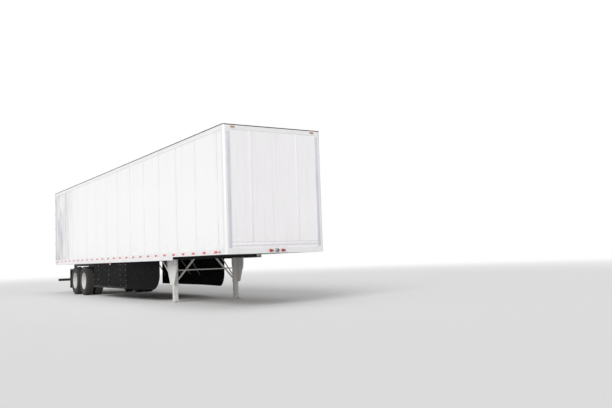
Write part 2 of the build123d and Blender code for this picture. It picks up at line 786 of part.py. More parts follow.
# Upper coupler plate and kingpin
with BuildPart() as coupler:
    with BuildSketch(Plane.XY.offset(COUPLER_Z)):
        with Locations((behind_nose((PLATE_FRONT + PLATE_REAR) / 2), 0)):
            Rectangle(PLATE_REAR - PLATE_FRONT, 2 * PLATE_HALF)
    extrude(amount=PLATE_T)
save(coupler, "coupler_plate")

# Columns: radius, height and upper face of each step of the pin
pin_steps = (
    (PIN_COLLAR_R, PIN_COLLAR_H, COUPLER_Z),
    (PIN_NECK_R, PIN_NECK_H, COUPLER_Z - PIN_COLLAR_H),
    (PIN_FLANGE_R, PIN_FLANGE_H, COUPLER_Z - PIN_COLLAR_H - PIN_NECK_H),
)
with BuildPart() as kingpin:
    for radius, height, top in pin_steps:
        with BuildSketch(Plane.XY.offset(top - height)):
            with Locations((behind_nose(KINGPIN_STATION), 0)):
                Circle(radius)
        extrude(amount=height)
save(kingpin, "kingpin")

# Landing gear: outer tubes, inner legs with shoes, side plates, braces, crank
with BuildPart() as leg_tubes:
    with BuildSketch(Plane.XY.offset(LEG_TUBE_BOTTOM)):
        with Locations((X_LEG, LEG_Y), (X_LEG, -LEG_Y)):
            Rectangle(LEG_TUBE, LEG_TUBE)
            Rectangle(LEG_TUBE - 2 * LEG_WALL, LEG_TUBE - 2 * LEG_WALL, mode=Mode.SUBTRACT)
    extrude(amount=BEAM_LOW - LEG_TUBE_BOTTOM)
save(leg_tubes, "leg_tubes")

inner_leg = LEG_TUBE - 2 * LEG_WALL - 2 * LEG_INNER_CLEARANCE
lug_outer = inner_leg / 2 + SHOE_LUG_T
shoe_pin_z = SHOE_T + SHOE_LUG_H / 2
with BuildPart() as inner_legs:
    with BuildSketch(Plane.XY.offset(LEG_INNER_BOTTOM)):
        with Locations((X_LEG, LEG_Y)):
            Rectangle(inner_leg, inner_leg)
    extrude(amount=LEG_INNER_TOP - LEG_INNER_BOTTOM)
    with BuildSketch(Plane.XY):
        with Locations((X_LEG, LEG_Y)):
            Rectangle(SHOE_SIZE, SHOE_SIZE)
    extrude(amount=SHOE_T)
    for y in (LEG_Y + lug_outer, LEG_Y - inner_leg / 2):
        with BuildSketch(side_view(y)):
            with BuildLine():
                Polyline(
                    (X_LEG - SHOE_LUG_FOOT / 2, SHOE_T),
                    (X_LEG + SHOE_LUG_FOOT / 2, SHOE_T),
                    (X_LEG + SHOE_LUG_TOP / 2, SHOE_T + SHOE_LUG_H),
                    (X_LEG - SHOE_LUG_TOP / 2, SHOE_T + SHOE_LUG_H),
                    close=True,
                )
            make_face()
        extrude(amount=SHOE_LUG_T)
    with BuildSketch(side_view(LEG_Y + lug_outer + SHOE_PIN_PROUD)):
        with Locations((X_LEG, shoe_pin_z)):
            Circle(SHOE_PIN_R)
    extrude(amount=2 * (lug_outer + SHOE_PIN_PROUD))
    mirror(about=Plane.XZ)
save(inner_legs, "leg_shoes")

wing_y = LEG_Y + LEG_TUBE / 2
with BuildPart() as wings:
    with BuildSketch(side_view(wing_y + WING_T)):
        with BuildLine():
            Polyline(
                (X_LEG - WING_TOP_W / 2, BEAM_LOW),
                (X_LEG - WING_TOP_W / 2, WING_KINK_Z),
                (X_LEG - WING_LOW_W / 2, WING_BOTTOM),
                (X_LEG + WING_LOW_W / 2, WING_BOTTOM),
                (X_LEG + WING_TOP_W / 2, WING_KINK_Z),
                (X_LEG + WING_TOP_W / 2, BEAM_LOW),
                close=True,
            )
        make_face()
    extrude(amount=WING_T)
    mirror(about=Plane.XZ)
save(wings, "leg_side_plates")

brace_foot = X_LEG - LEG_TUBE / 2
brace_top = behind_nose(BRACE_BACK_STATION)
in_foot = LEG_Y - LEG_TUBE / 2
brace_rise = BEAM_LOW - BRACE_LOW_Z
back_level, back_upright = mitre(brace_foot - brace_top, brace_rise, BRACE)
in_level, in_upright = mitre(in_foot - BRACE_IN_Y, brace_rise, BRACE)
with BuildPart() as braces:
    with BuildSketch(side_view(LEG_Y + BRACE / 2)):
        with BuildLine():
            Polyline(
                (brace_foot, BRACE_LOW_Z),
                (brace_foot, BRACE_LOW_Z + back_upright),
                (brace_top + back_level, BEAM_LOW),
                (brace_top, BEAM_LOW),
                close=True,
            )
        make_face()
    extrude(amount=BRACE_T)
    with BuildSketch(end_view(X_LEG - BRACE / 2)):
        with BuildLine():
            Polyline(
                (in_foot, BRACE_LOW_Z),
                (in_foot, BRACE_LOW_Z + in_upright),
                (BRACE_IN_Y + in_level, BEAM_LOW),
                (BRACE_IN_Y, BEAM_LOW),
                close=True,
            )
        make_face()
    extrude(amount=BRACE_T)
    mirror(about=Plane.XZ)
save(braces, "leg_braces")

box_w, box_t, box_h = GEARBOX
box_in = wing_y + WING_T
arm_y = box_in + box_t + CRANK_OUT
arm_end_y = arm_y + 2 * CRANK_R
with BuildPart() as crank:
    with BuildSketch(Plane(origin=(X_LEG, box_in, GEARBOX_Z), x_dir=(-1, 0, 0), z_dir=(0, 1, 0))):
        Rectangle(box_w, box_h)
    extrude(amount=box_t, taper=GEARBOX_TAPER)
    # Columns: radius, X, outer end and length of the cross shaft, the crank's stub and its grip
    for radius, x, outer_y, length in (
        (SHAFT_R, X_LEG, in_foot, 2 * in_foot),
        (CRANK_R, X_LEG, arm_y, CRANK_OUT),
        (CRANK_R, X_LEG - CRANK_ARM, arm_end_y + CRANK_GRIP, CRANK_GRIP),
    ):
        with BuildSketch(side_view(outer_y)):
            with Locations((x, GEARBOX_Z)):
                Circle(radius)
        extrude(amount=length)
    with BuildSketch(side_view(arm_end_y)):
        with Locations((X_LEG - CRANK_ARM / 2, GEARBOX_Z)):
            Rectangle(CRANK_ARM + 2 * CRANK_R, 2 * CRANK_R)
    extrude(amount=2 * CRANK_R)
save(crank, "leg_crank")

# Side skirts: angled out behind the landing gear, then straight to the tandem
skirt_slope = (SKIRT_Y - SKIRT_FRONT_Y) / (SKIRT_BEND - SKIRT_FRONT)
skirt_turn = hypot(1, skirt_slope)
corner_x = behind_nose(SKIRT_FRONT)
with BuildPart() as skirts:
    with BuildSketch(Plane.XY.offset(SKIRT_BOTTOM)):
        with BuildLine():
            Polyline(
                (corner_x, SKIRT_FRONT_Y),
                (behind_nose(SKIRT_BEND), SKIRT_Y),
                (behind_nose(SKIRT_REAR), SKIRT_Y),
                (behind_nose(SKIRT_REAR), SKIRT_Y - SKIRT_T),
                (behind_nose(SKIRT_BEND), SKIRT_Y - SKIRT_T),
                (corner_x, SKIRT_FRONT_Y - SKIRT_T * skirt_turn),
                close=True,
            )
        make_face()
    extrude(amount=BEAM_LOW - SKIRT_BOTTOM)
    with BuildSketch(side_view(HALF)):
        with Locations((corner_x - SKIRT_CORNER_R / 2, SKIRT_BOTTOM + SKIRT_CORNER_R / 2)):
            Rectangle(SKIRT_CORNER_R, SKIRT_CORNER_R)
        with Locations((corner_x - SKIRT_CORNER_R, SKIRT_BOTTOM + SKIRT_CORNER_R)):
            Circle(SKIRT_CORNER_R, mode=Mode.SUBTRACT)
    extrude(amount=HALF, mode=Mode.SUBTRACT)
    mirror(about=Plane.XZ)
save(skirts, "side_skirts")

strut_first = SKIRT_BEND + STRUT_FROM_BEND
strut_pitch = (SKIRT_REAR - STRUT_FROM_REAR - strut_first) / (STRUTS - 1)
strut_y = SKIRT_Y - SKIRT_T
strut_level, strut_upright = mitre(STRUT_REACH, BEAM_LOW - STRUT_LOW_Z, STRUT)
with BuildPart() as struts:
    for k in range(STRUTS):
        with BuildSketch(end_view(behind_nose(strut_first + k * strut_pitch))):
            with BuildLine():
                Polyline(
                    (strut_y, STRUT_LOW_Z),
                    (strut_y, STRUT_LOW_Z + strut_upright),
                    (strut_y - STRUT_REACH + strut_level, BEAM_LOW),
                    (strut_y - STRUT_REACH, BEAM_LOW),
                    close=True,
                )
            make_face()
        extrude(amount=STRUT)
    mirror(about=Plane.XZ)
save(struts, "skirt_struts")

# Air line couplings and the electric socket on the lower front rail
connector_z = (COUPLER_Z + RAIL_TOP) / 2
base_t, base_w, base_h = GLADHAND_BASE
head_x = X_NOSE + NOSE_PROUD - GLADHAND_HEAD_R
with BuildPart() as gladhands:
    for y in (-GLADHAND_Y, GLADHAND_Y):
        with BuildSketch(end_view(X_NOSE)):
            with Locations((y, connector_z)):
                Rectangle(base_w, base_h)
        extrude(amount=base_t)
        with BuildSketch(Plane.XY.offset(connector_z - GLADHAND_HEAD_H / 2)):
            with Locations((head_x, y)):
                Circle(GLADHAND_HEAD_R)
            with Locations(((X_NOSE + base_t + head_x) / 2, y)):
                Rectangle(head_x - X_NOSE - base_t, GLADHAND_NECK_W)
        extrude(amount=GLADHAND_HEAD_H)
save(gladhands, "air_couplings")

with BuildPart() as socket:
    with BuildSketch(end_view(X_NOSE)):
        with Locations((0, connector_z)):
            Rectangle(SOCKET_PLATE, SOCKET_PLATE)
    extrude(amount=SOCKET_PLATE_T)
    with BuildSketch(end_view(X_NOSE + SOCKET_PLATE_T)):
        with Locations((0, connector_z)):
            Circle(SOCKET_R)
            Circle(SOCKET_BORE_R, mode=Mode.SUBTRACT)
    extrude(amount=SOCKET_DEPTH)
save(socket, "electric_socket")

# Slide rails under the cross-members, holed at each place that a lock pin can take
slide_rear = X_FRAME
slide_front = behind_nose(SLIDE_FRONT)
slide_web_z = (SLIDE_RAIL_BOTTOM + BEAM_LOW) / 2
slide_web_in = SLIDE_RAIL_Y + SLIDE_RAIL_W / 2 - SLIDE_RAIL_T
lock_reach = LOCK_PIN_NOTCHES * SLIDE_NOTCH
first_hole = X_TANDEM + lock_reach + NOTCHES_AHEAD * SLIDE_NOTCH
hole_count = 2 * LOCK_PIN_NOTCHES + NOTCHES_AHEAD + NOTCHES_BEHIND + 1
with BuildPart() as slide_rails:
    with BuildSketch(end_view(slide_rear)):
        with Locations((slide_web_in + SLIDE_RAIL_T / 2, slide_web_z)):
            Rectangle(SLIDE_RAIL_T, BEAM_LOW - SLIDE_RAIL_BOTTOM)
        with Locations(
            (SLIDE_RAIL_Y, BEAM_LOW - SLIDE_RAIL_T / 2),
            (SLIDE_RAIL_Y, SLIDE_RAIL_BOTTOM + SLIDE_RAIL_T / 2),
        ):
            Rectangle(SLIDE_RAIL_W, SLIDE_RAIL_T)
    extrude(amount=slide_front - slide_rear)
    with BuildSketch(side_view(HALF)):
        with Locations([(first_hole - k * SLIDE_NOTCH, slide_web_z) for k in range(hole_count)]):
            RegularPolygon(SLIDE_HOLE_R, SLIDE_HOLE_SIDES, major_radius=False)
    extrude(amount=HALF, mode=Mode.SUBTRACT)
    mirror(about=Plane.XZ)
save(slide_rails, "slide_rails")

# Slider frame: two channels joined by cross tubes, with the lock pins and their pull bar
slider_mid_z = SLIDER_LOW + SLIDER_H / 2
channel_in = SLIDE_RAIL_Y - SLIDER_W / 2
bracket_y = channel_in - LOCK_BRACKET_IN
bracket_foot = SLIDER_TOP - SLIDER_T
bracket_top = slide_web_z + LOCK_BRACKET_RISE
pin_tip = slide_web_in - LOCK_PIN_BACK
with BuildPart() as slider:
    with BuildSketch(end_view(X_TANDEM - SLIDER_HALF)):
        with Locations((SLIDE_RAIL_Y + SLIDER_W / 2 - SLIDER_T / 2, slider_mid_z)):
            Rectangle(SLIDER_T, SLIDER_H)
        with Locations(
            (SLIDE_RAIL_Y, SLIDER_TOP - SLIDER_T / 2),
            (SLIDE_RAIL_Y, SLIDER_LOW + SLIDER_T / 2),
        ):
            Rectangle(SLIDER_W, SLIDER_T)
    extrude(amount=2 * SLIDER_HALF)
    for pin_x in (X_TANDEM - lock_reach, X_TANDEM + lock_reach):
        with BuildSketch(end_view(pin_x - LOCK_BRACKET_W / 2)):
            with Locations((bracket_y - LOCK_BRACKET_T / 2, (bracket_foot + bracket_top) / 2)):
                Rectangle(LOCK_BRACKET_T, bracket_top - bracket_foot)
            with Locations(((bracket_y + channel_in) / 2, SLIDER_TOP - SLIDER_T / 2)):
                Rectangle(LOCK_BRACKET_IN, SLIDER_T)
        extrude(amount=LOCK_BRACKET_W)
        with BuildSketch(side_view(pin_tip)):
            with Locations((pin_x, slide_web_z)):
                RegularPolygon(LOCK_PIN_R, BAR_SIDES)
        extrude(amount=LOCK_PIN_L)
    with BuildSketch(end_view(X_TANDEM - lock_reach)):
        with Locations((pin_tip - LOCK_PIN_L + 2 * PULL_ROD_R, slide_web_z)):
            RegularPolygon(PULL_ROD_R, BAR_SIDES)
    extrude(amount=2 * lock_reach)
    mirror(about=Plane.XZ)
    with BuildSketch(side_view(SLIDE_RAIL_Y)):
        for x in (
            CROSS_TUBE - SLIDER_HALF,
            -HANGER_REACH - CROSS_TUBE_SET,
            0,
            HANGER_REACH + CROSS_TUBE_SET,
            SLIDER_HALF - CROSS_TUBE,
        ):
            with Locations((X_TANDEM + x, slider_mid_z)):
                Rectangle(CROSS_TUBE, SLIDER_H - 2 * SLIDER_T)
    extrude(amount=2 * SLIDE_RAIL_Y)
    with BuildSketch(side_view(PULL_BAR_END)):
        with Locations((X_TANDEM + PULL_BAR_X, slider_mid_z)):
            RegularPolygon(PULL_BAR_R, BAR_SIDES)
    extrude(amount=PULL_BAR_END - SLIDE_RAIL_Y)
    with BuildSketch(Plane.XY.offset(slider_mid_z - PULL_GRIP / 2)):
        with Locations((X_TANDEM + PULL_BAR_X, PULL_BAR_END)):
            Rectangle(PULL_GRIP_T, PULL_GRIP_T)
    extrude(amount=PULL_GRIP)
save(slider, "slider_frame")

# Spring hangers, rear to front: cheeks over the springs, the middle one over the equaliser
hanger_x = [X_TANDEM + k * (AXLE_SPACING / 2 + HANGER_REACH) for k in (-1, 0, 1)]
equaliser_top = EQUALISER_Z + EQUALISER_BOSS
slot_tops = (SPRING_END_Z, equaliser_top + EQUALISER_SLOT, SPRING_END_Z)
with BuildPart() as hangers:
    with BuildSketch(side_view(SLIDE_RAIL_Y + HANGER_W / 2)):
        for x in hanger_x:
            with BuildLine():
                Polyline(
                    (x - HANGER_TOP_L / 2, SLIDER_LOW),
                    (x + HANGER_TOP_L / 2, SLIDER_LOW),
                    (x + HANGER_FOOT_L / 2, HANGER_BOTTOM),
                    (x - HANGER_FOOT_L / 2, HANGER_BOTTOM),
                    close=True,
                )
            make_face()
    extrude(amount=HANGER_W)
    with BuildSketch(side_view(SLIDE_RAIL_Y + SPRING_W / 2 + SPRING_PLAY)):
        for x, slot_top in zip(hanger_x, slot_tops):
            with Locations((x, (slot_top + HANGER_BOTTOM) / 2)):
                Rectangle(HANGER_TOP_L, slot_top - HANGER_BOTTOM)
    extrude(amount=SPRING_W + 2 * SPRING_PLAY, mode=Mode.SUBTRACT)
    with BuildSketch(side_view(SLIDE_RAIL_Y + HANGER_W / 2)):
        with Locations([(axle + HANGER_REACH, RADIUS_HIGH_Z) for axle in AXLE_X]):
            Circle(RADIUS_PIN_R + PIN_CLEARANCE)
        with Locations((X_TANDEM, EQUALISER_Z)):
            Circle(EQUALISER_PIN_R + PIN_CLEARANCE)
    extrude(amount=HANGER_W, mode=Mode.SUBTRACT)
    mirror(about=Plane.XZ)
save(hangers, "spring_hangers")

# Leaf springs: three leaves, each an arc, the lower ones shorter
spring_half = HANGER_REACH - SPRING_END_GAP
with BuildPart() as springs:
    with BuildSketch(side_view(SLIDE_RAIL_Y + SPRING_W / 2)):
        for axle in AXLE_X:
            for leaf, share in enumerate(LEAF_SHARES):
                reach = spring_half * share
                rise = SPRING_SAG * share**2
                mid = SPRING_END_Z - SPRING_SAG - leaf * LEAF_T
                with BuildLine():
                    ThreePointArc((axle - reach, mid + rise), (axle, mid), (axle + reach, mid + rise))
                    Line((axle + reach, mid + rise), (axle + reach, mid + rise - LEAF_T))
                    ThreePointArc(
                        (axle + reach, mid + rise - LEAF_T),
                        (axle, mid - LEAF_T),
                        (axle - reach, mid + rise - LEAF_T),
                    )
                    Line((axle - reach, mid + rise - LEAF_T), (axle - reach, mid + rise))
                make_face()
    extrude(amount=SPRING_W)
    mirror(about=Plane.XZ)
save(springs, "leaf_springs")

# Equalisers: rockers in the middle hangers that press on both springs' inner ends
with BuildPart() as equalisers:
    with BuildSketch(side_view(SLIDE_RAIL_Y + SPRING_W / 2)):
        with BuildLine():
            Polyline(
                (X_TANDEM - EQUALISER_HALF, EQUALISER_TIP_LOW),
                (X_TANDEM - EQUALISER_FOOT, SPRING_END_Z + EQUALISER_SEAT),
                (X_TANDEM + EQUALISER_FOOT, SPRING_END_Z + EQUALISER_SEAT),
                (X_TANDEM + EQUALISER_HALF, EQUALISER_TIP_LOW),
                (X_TANDEM + EQUALISER_HALF, EQUALISER_TIP_HIGH),
                (X_TANDEM + EQUALISER_BOSS, equaliser_top),
                (X_TANDEM - EQUALISER_BOSS, equaliser_top),
                (X_TANDEM - EQUALISER_HALF, EQUALISER_TIP_HIGH),
                close=True,
            )
        make_face()
    extrude(amount=SPRING_W)
    with BuildSketch(side_view(SLIDE_RAIL_Y + HANGER_W / 2 + SUSPENSION_PIN_PROUD)):
        with Locations((X_TANDEM, EQUALISER_Z)):
            Circle(EQUALISER_PIN_R)
    extrude(amount=HANGER_W + 2 * SUSPENSION_PIN_PROUD)
    mirror(about=Plane.XZ)
save(equalisers, "equalisers")

# Radius rods: a tube from each axle's seat up to the hanger ahead of it, with an eye at each end
eye_x = SEAT_L / 2 + RADIUS_EYE_SET + RADIUS_EYE_R
ear_y = RADIUS_EYE_W / 2 + SPRING_PLAY
with BuildPart() as radius_rods:
    for axle in AXLE_X:
        low_eye = Vector(axle + eye_x, SLIDE_RAIL_Y, RADIUS_LOW_Z)
        high_eye = Vector(axle + HANGER_REACH, SLIDE_RAIL_Y, RADIUS_HIGH_Z)
        with BuildSketch(Plane(origin=low_eye, z_dir=high_eye - low_eye)):
            RegularPolygon(RADIUS_ROD_R, BAR_SIDES)
        extrude(amount=(high_eye - low_eye).length)
        # Columns: the eye, and half the length of its pin
        for eye, pin_half in (
            (low_eye, ear_y + RADIUS_EAR_T + SUSPENSION_PIN_PROUD),
            (high_eye, HANGER_W / 2 + SUSPENSION_PIN_PROUD),
        ):
            with BuildSketch(side_view(SLIDE_RAIL_Y + RADIUS_EYE_W / 2)):
                with Locations((eye.X, eye.Z)):
                    RegularPolygon(RADIUS_EYE_R, BAR_SIDES)
            extrude(amount=RADIUS_EYE_W)
            with BuildSketch(side_view(SLIDE_RAIL_Y + pin_half)):
                with Locations((eye.X, eye.Z)):
                    Circle(RADIUS_PIN_R)
            extrude(amount=2 * pin_half)
    mirror(about=Plane.XZ)
save(radius_rods, "radius_rods")

# Axles with spindles, brake spiders, spring seats and the ears of the radius rods
seat_top = SPRING_END_Z - SPRING_SAG - len(LEAF_SHARES) * LEAF_T
spider_y = WHEEL_PLANE_Y - DRUM_DEPTH - SPIDER_GAP - SPIDER_T
spindle_end = WHEEL_PLANE_Y + HUB_NOSE - SPINDLE_SHORT
ear_end = eye_x + RADIUS_EYE_R
with BuildPart() as axles:
    for axle in AXLE_X:
        for radius, reach in ((AXLE_R, spider_y + SPIDER_T), (SPINDLE_R, spindle_end)):
            with BuildSketch(side_view(reach)):
                with Locations((axle, AXLE_Z)):
                    Circle(radius)
            extrude(amount=2 * reach)
        for y in (spider_y + SPIDER_T, -spider_y):
            with BuildSketch(side_view(y)):
                with Locations((axle, AXLE_Z)):
                    RegularPolygon(SPIDER_R, WHEEL_SIDES)
            extrude(amount=SPIDER_T)
        for seat_y in (SLIDE_RAIL_Y, -SLIDE_RAIL_Y):
            with BuildSketch(side_view(seat_y + SPRING_W / 2)):
                with Locations((axle, (AXLE_Z + seat_top) / 2)):
                    Rectangle(SEAT_L, seat_top - AXLE_Z)
            extrude(amount=SPRING_W)
            for y in (seat_y + ear_y + RADIUS_EAR_T, seat_y - ear_y):
                with BuildSketch(side_view(y)):
                    with Locations((axle + (SEAT_L / 2 + ear_end) / 2, RADIUS_LOW_Z)):
                        Rectangle(ear_end - SEAT_L / 2, 2 * RADIUS_EYE_R)
                    with Locations((axle + eye_x, RADIUS_LOW_Z)):
                        Circle(RADIUS_PIN_R + PIN_CLEARANCE, mode=Mode.SUBTRACT)
                extrude(amount=RADIUS_EAR_T)
save(axles, "axles")

# Brakes: behind each axle a cam tube, its slack adjuster, and the chamber that pushes it
push_z = AXLE_Z + SLACK_ARM
with BuildPart() as chambers:
    for axle in AXLE_X:
        cam_x = axle - CAM_BACK
        chamber_face = cam_x - PUSH_ROD_L
        with BuildSketch(side_view(spider_y)):
            with Locations((cam_x, AXLE_Z)):
                RegularPolygon(CAM_R, BAR_SIDES)
        extrude(amount=spider_y - CHAMBER_Y + SLACK_T)
        with BuildSketch(side_view(CHAMBER_Y + SLACK_T / 2)):
            with Locations((cam_x, AXLE_Z)):
                RegularPolygon(SLACK_R, BAR_SIDES)
            with Locations((cam_x, push_z)):
                RegularPolygon(SLACK_EYE_R, BAR_SIDES)
            make_hull()
        extrude(amount=SLACK_T)
        with BuildSketch(end_view(chamber_face)):
            with Locations((CHAMBER_Y, push_z)):
                RegularPolygon(PUSH_ROD_R, BAR_SIDES)
        extrude(amount=PUSH_ROD_L)
        for radius, front, length in (
            (CHAMBER_R, chamber_face, CHAMBER_L),
            (CLAMP_R, chamber_face - CLAMP_BACK, CLAMP_T),
        ):
            with BuildSketch(end_view(front - length)):
                with Locations((CHAMBER_Y, push_z)):
                    RegularPolygon(radius, WHEEL_SIDES)
            extrude(amount=length)
        with BuildSketch(side_view(CHAMBER_Y + CHAMBER_ARM_OUT + CHAMBER_ARM_T)):
            with BuildLine():
                Polyline(
                    (axle, AXLE_Z),
                    (chamber_face, push_z - CHAMBER_ARM_H),
                    (chamber_face, push_z + CHAMBER_ARM_H),
                    (axle, AXLE_Z + AXLE_R + CHAMBER_ARM_H / 2),
                    close=True,
                )
            make_face()
            with Locations((axle, AXLE_Z)):
                Circle(AXLE_R, mode=Mode.SUBTRACT)
        extrude(amount=CHAMBER_ARM_T)
    mirror(about=Plane.XZ)
save(chambers, "brake_chambers")

# Air tank across the slider frame
with BuildPart() as tank:
    with BuildSketch(side_view(TANK_L / 2)):
        with Locations((X_TANDEM, SLIDER_LOW + SLIDER_T - TANK_R)):
            Circle(TANK_R)
    extrude(amount=TANK_L)
save(tank, "air_tank")

# Mud flaps behind the rear wheels, on arms from the slider frame
flap_x = X_TANDEM - AXLE_SPACING / 2 - FLAP_BACK
flap_end = WHEEL_PLANE_Y + FLAP_W / 2
flap_arm_in = SLIDE_RAIL_Y + SLIDER_W / 2
with BuildPart() as flaps:
    with BuildSketch(end_view(flap_x)):
        with Locations((WHEEL_PLANE_Y, (FLAP_BOTTOM + FLAP_TOP) / 2)):
            Rectangle(FLAP_W, FLAP_TOP - FLAP_BOTTOM)
    extrude(amount=FLAP_T)
    mirror(about=Plane.XZ)
save(flaps, "mud_flaps")

with BuildPart() as flap_arms:
    with BuildSketch(end_view(flap_x + FLAP_T)):
        with Locations(((flap_arm_in + flap_end) / 2, FLAP_TOP - FLAP_ARM_H / 2)):
            Rectangle(flap_end - flap_arm_in, FLAP_ARM_H)
    extrude(amount=FLAP_ARM_T)
    mirror(about=Plane.XZ)
save(flap_arms, "flap_arms")

# Wheel ends, built once about the Y axis with +Y outward and copied to their places.
# Their rounds are rings of flats: prisms whose end edges are chamfered into the slopes.
with BuildPart() as tyre:
    with BuildSketch(side_view(BULGE_HALF)):
        RegularPolygon(TYRE_R, TYRE_SIDES, major_radius=False)
        RegularPolygon(BEAD_R, TYRE_SIDES, major_radius=False, mode=Mode.SUBTRACT)
    extrude(amount=2 * BULGE_HALF)
    for end in (0, -1):
        wall = tyre.faces().sort_by(Axis.Y)[end]
        chamfer(wall.outer_wire().edges(), TYRE_R - BULGE_OUT_R, BULGE_HALF - TREAD_HALF, reference=wall)
        wall = tyre.faces().sort_by(Axis.Y)[end]
        chamfer(wall.inner_wires()[0].edges(), BULGE_IN_R - BEAD_R, BULGE_HALF - BEAD_HALF, reference=wall)

tyre_mid = DUAL_SPACING / 2
with BuildPart() as twin_tyres:
    with Locations((0, tyre_mid, 0), (0, -tyre_mid, 0)):
        add(tyre.part)

rim_face = tyre_mid + BEAD_HALF + RIM_OVERHANG
with BuildPart() as dish:
    with BuildSketch(side_view(rim_face)):
        RegularPolygon(RIM_IN_R, WHEEL_SIDES)
    extrude(amount=rim_face - DISC_T)
    floor = dish.faces().sort_by(Axis.Y)[0]
    chamfer(floor.edges(), RIM_IN_R - DISH_R, RIM_WELL, reference=floor)

with BuildPart() as twin_discs:
    with BuildSketch(side_view(rim_face)):
        RegularPolygon(BEAD_R, WHEEL_SIDES)
    extrude(amount=rim_face - DISC_GAP)
    back = twin_discs.faces().sort_by(Axis.Y)[0]
    chamfer(back.edges(), BEAD_R - DISC_R, RIM_WELL, reference=back)
    with BuildSketch(side_view(rim_face)):
        RegularPolygon(RIM_LIP_R, WHEEL_SIDES)
    extrude(amount=RIM_LIP_T)
    add(dish.part, mode=Mode.SUBTRACT)
    with BuildSketch(side_view(DISC_T)):
        RegularPolygon(PILOT_R + PILOT_CLEARANCE, WHEEL_SIDES)
    extrude(amount=DISC_T, mode=Mode.SUBTRACT)
    mirror(about=Plane.XZ)

drum_floor = -DISC_T - HUB_FLANGE_T - DRUM_FLOOR
pilot_end = DISC_T + PILOT_PROUD
with BuildPart() as hub_and_drum:
    with BuildSketch(side_view(-DISC_T)):
        RegularPolygon(DRUM_R, WHEEL_SIDES)
    extrude(amount=DRUM_DEPTH - DISC_T)
    flange = hub_and_drum.faces().sort_by(Axis.Y)[-1]
    chamfer(flange.edges(), DRUM_R - HUB_FLANGE_R, HUB_FLANGE_T, reference=flange)
    with BuildSketch(side_view(HUB_NOSE)):
        RegularPolygon(PILOT_R, WHEEL_SIDES)
    extrude(amount=HUB_NOSE + DISC_T)
    nose = hub_and_drum.faces().sort_by(Axis.Y)[-1]
    chamfer(nose.edges(), PILOT_R - HUB_NOSE_R, HUB_NOSE - pilot_end, reference=nose)
    with BuildSketch(side_view(HUB_CAP)):
        RegularPolygon(HUB_CAP_R, WHEEL_SIDES)
    extrude(amount=HUB_CAP - HUB_NOSE)
    with BuildSketch(side_view(drum_floor)):
        RegularPolygon(DRUM_R - DRUM_WALL, WHEEL_SIDES)
    extrude(amount=DRUM_DEPTH + drum_floor, mode=Mode.SUBTRACT)
    with BuildSketch(side_view(HUB_NOSE)):
        Circle(SPINDLE_R + BEARING_CLEARANCE)
    extrude(amount=HUB_NOSE - drum_floor, mode=Mode.SUBTRACT)

for place, axle in zip(("front", "rear"), AXLE_X):
    for side, sign in SIDES:
        for pattern, node in ((twin_tyres, "tyres"), (twin_discs, "wheels"), (hub_and_drum, "hub")):
            with BuildPart() as placed:
                with Locations((axle, sign * WHEEL_PLANE_Y, AXLE_Z)):
                    add(pattern.part, rotation=(0, 0, 90 - 90 * sign))
            save(placed, f"{node}_{place}_{side}")
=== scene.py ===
"""The looks of an empty dry-van semi trailer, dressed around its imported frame.

Metres, +X towards the nose, +Y to the left side, +Z up. Each sub-assembly is a class that reads its
places from the frame's boxes, models its own pieces and gives every node that it owns a finish.
"""

from __future__ import annotations

import json
import logging
import math
from contextlib import contextmanager
from dataclasses import dataclass
from enum import Enum
from functools import reduce
from typing import Callable, Iterable, Iterator, Sequence

import bmesh
import bpy
from mathutils import Matrix, Vector

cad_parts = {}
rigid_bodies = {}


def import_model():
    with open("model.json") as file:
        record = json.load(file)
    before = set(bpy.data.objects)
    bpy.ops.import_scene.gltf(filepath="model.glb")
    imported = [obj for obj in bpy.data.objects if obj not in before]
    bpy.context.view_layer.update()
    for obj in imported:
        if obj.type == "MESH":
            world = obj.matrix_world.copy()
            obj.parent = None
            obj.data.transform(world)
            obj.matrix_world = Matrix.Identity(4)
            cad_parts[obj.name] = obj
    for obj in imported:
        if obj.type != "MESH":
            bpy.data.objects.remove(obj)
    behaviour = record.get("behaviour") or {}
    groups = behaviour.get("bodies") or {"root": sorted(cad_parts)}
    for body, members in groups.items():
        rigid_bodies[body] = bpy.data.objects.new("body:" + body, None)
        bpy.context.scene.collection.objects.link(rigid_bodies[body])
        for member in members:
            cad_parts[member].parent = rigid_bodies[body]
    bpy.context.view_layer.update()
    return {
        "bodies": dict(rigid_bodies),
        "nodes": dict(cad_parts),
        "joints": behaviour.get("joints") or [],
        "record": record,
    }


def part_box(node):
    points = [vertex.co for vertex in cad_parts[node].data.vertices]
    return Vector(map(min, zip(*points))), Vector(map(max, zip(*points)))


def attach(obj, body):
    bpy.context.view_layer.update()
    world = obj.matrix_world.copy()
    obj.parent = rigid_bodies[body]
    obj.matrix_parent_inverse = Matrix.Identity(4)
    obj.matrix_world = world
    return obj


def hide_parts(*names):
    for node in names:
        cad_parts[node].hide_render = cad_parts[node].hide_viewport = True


LOG = logging.getLogger("trailer")
Piece = bpy.types.Object
Socket = bpy.types.NodeSocket
Rgb = tuple[float, float, float]
Triple = Sequence[float]
Pair = Sequence[float]
Test = Callable[[Vector, Vector], bool]
FULL_TURN = 2 * math.pi
HALF_TURN = math.pi
QUARTER = math.pi / 2
ORIGIN = Vector((0, 0, 0))
FORWARD = Vector((1, 0, 0))
OUTWARD = Vector((0, 1, 0))
UP = Vector((0, 0, 1))
WELD = 0.00001
PLACES = ("front", "rear")
WHITE: Rgb = (1, 1, 1)
DUST: Rgb = (0.36, 0.32, 0.27)
GRIME: Rgb = (0.20, 0.19, 0.19)
RUST: Rgb = (0.30, 0.12, 0.045)


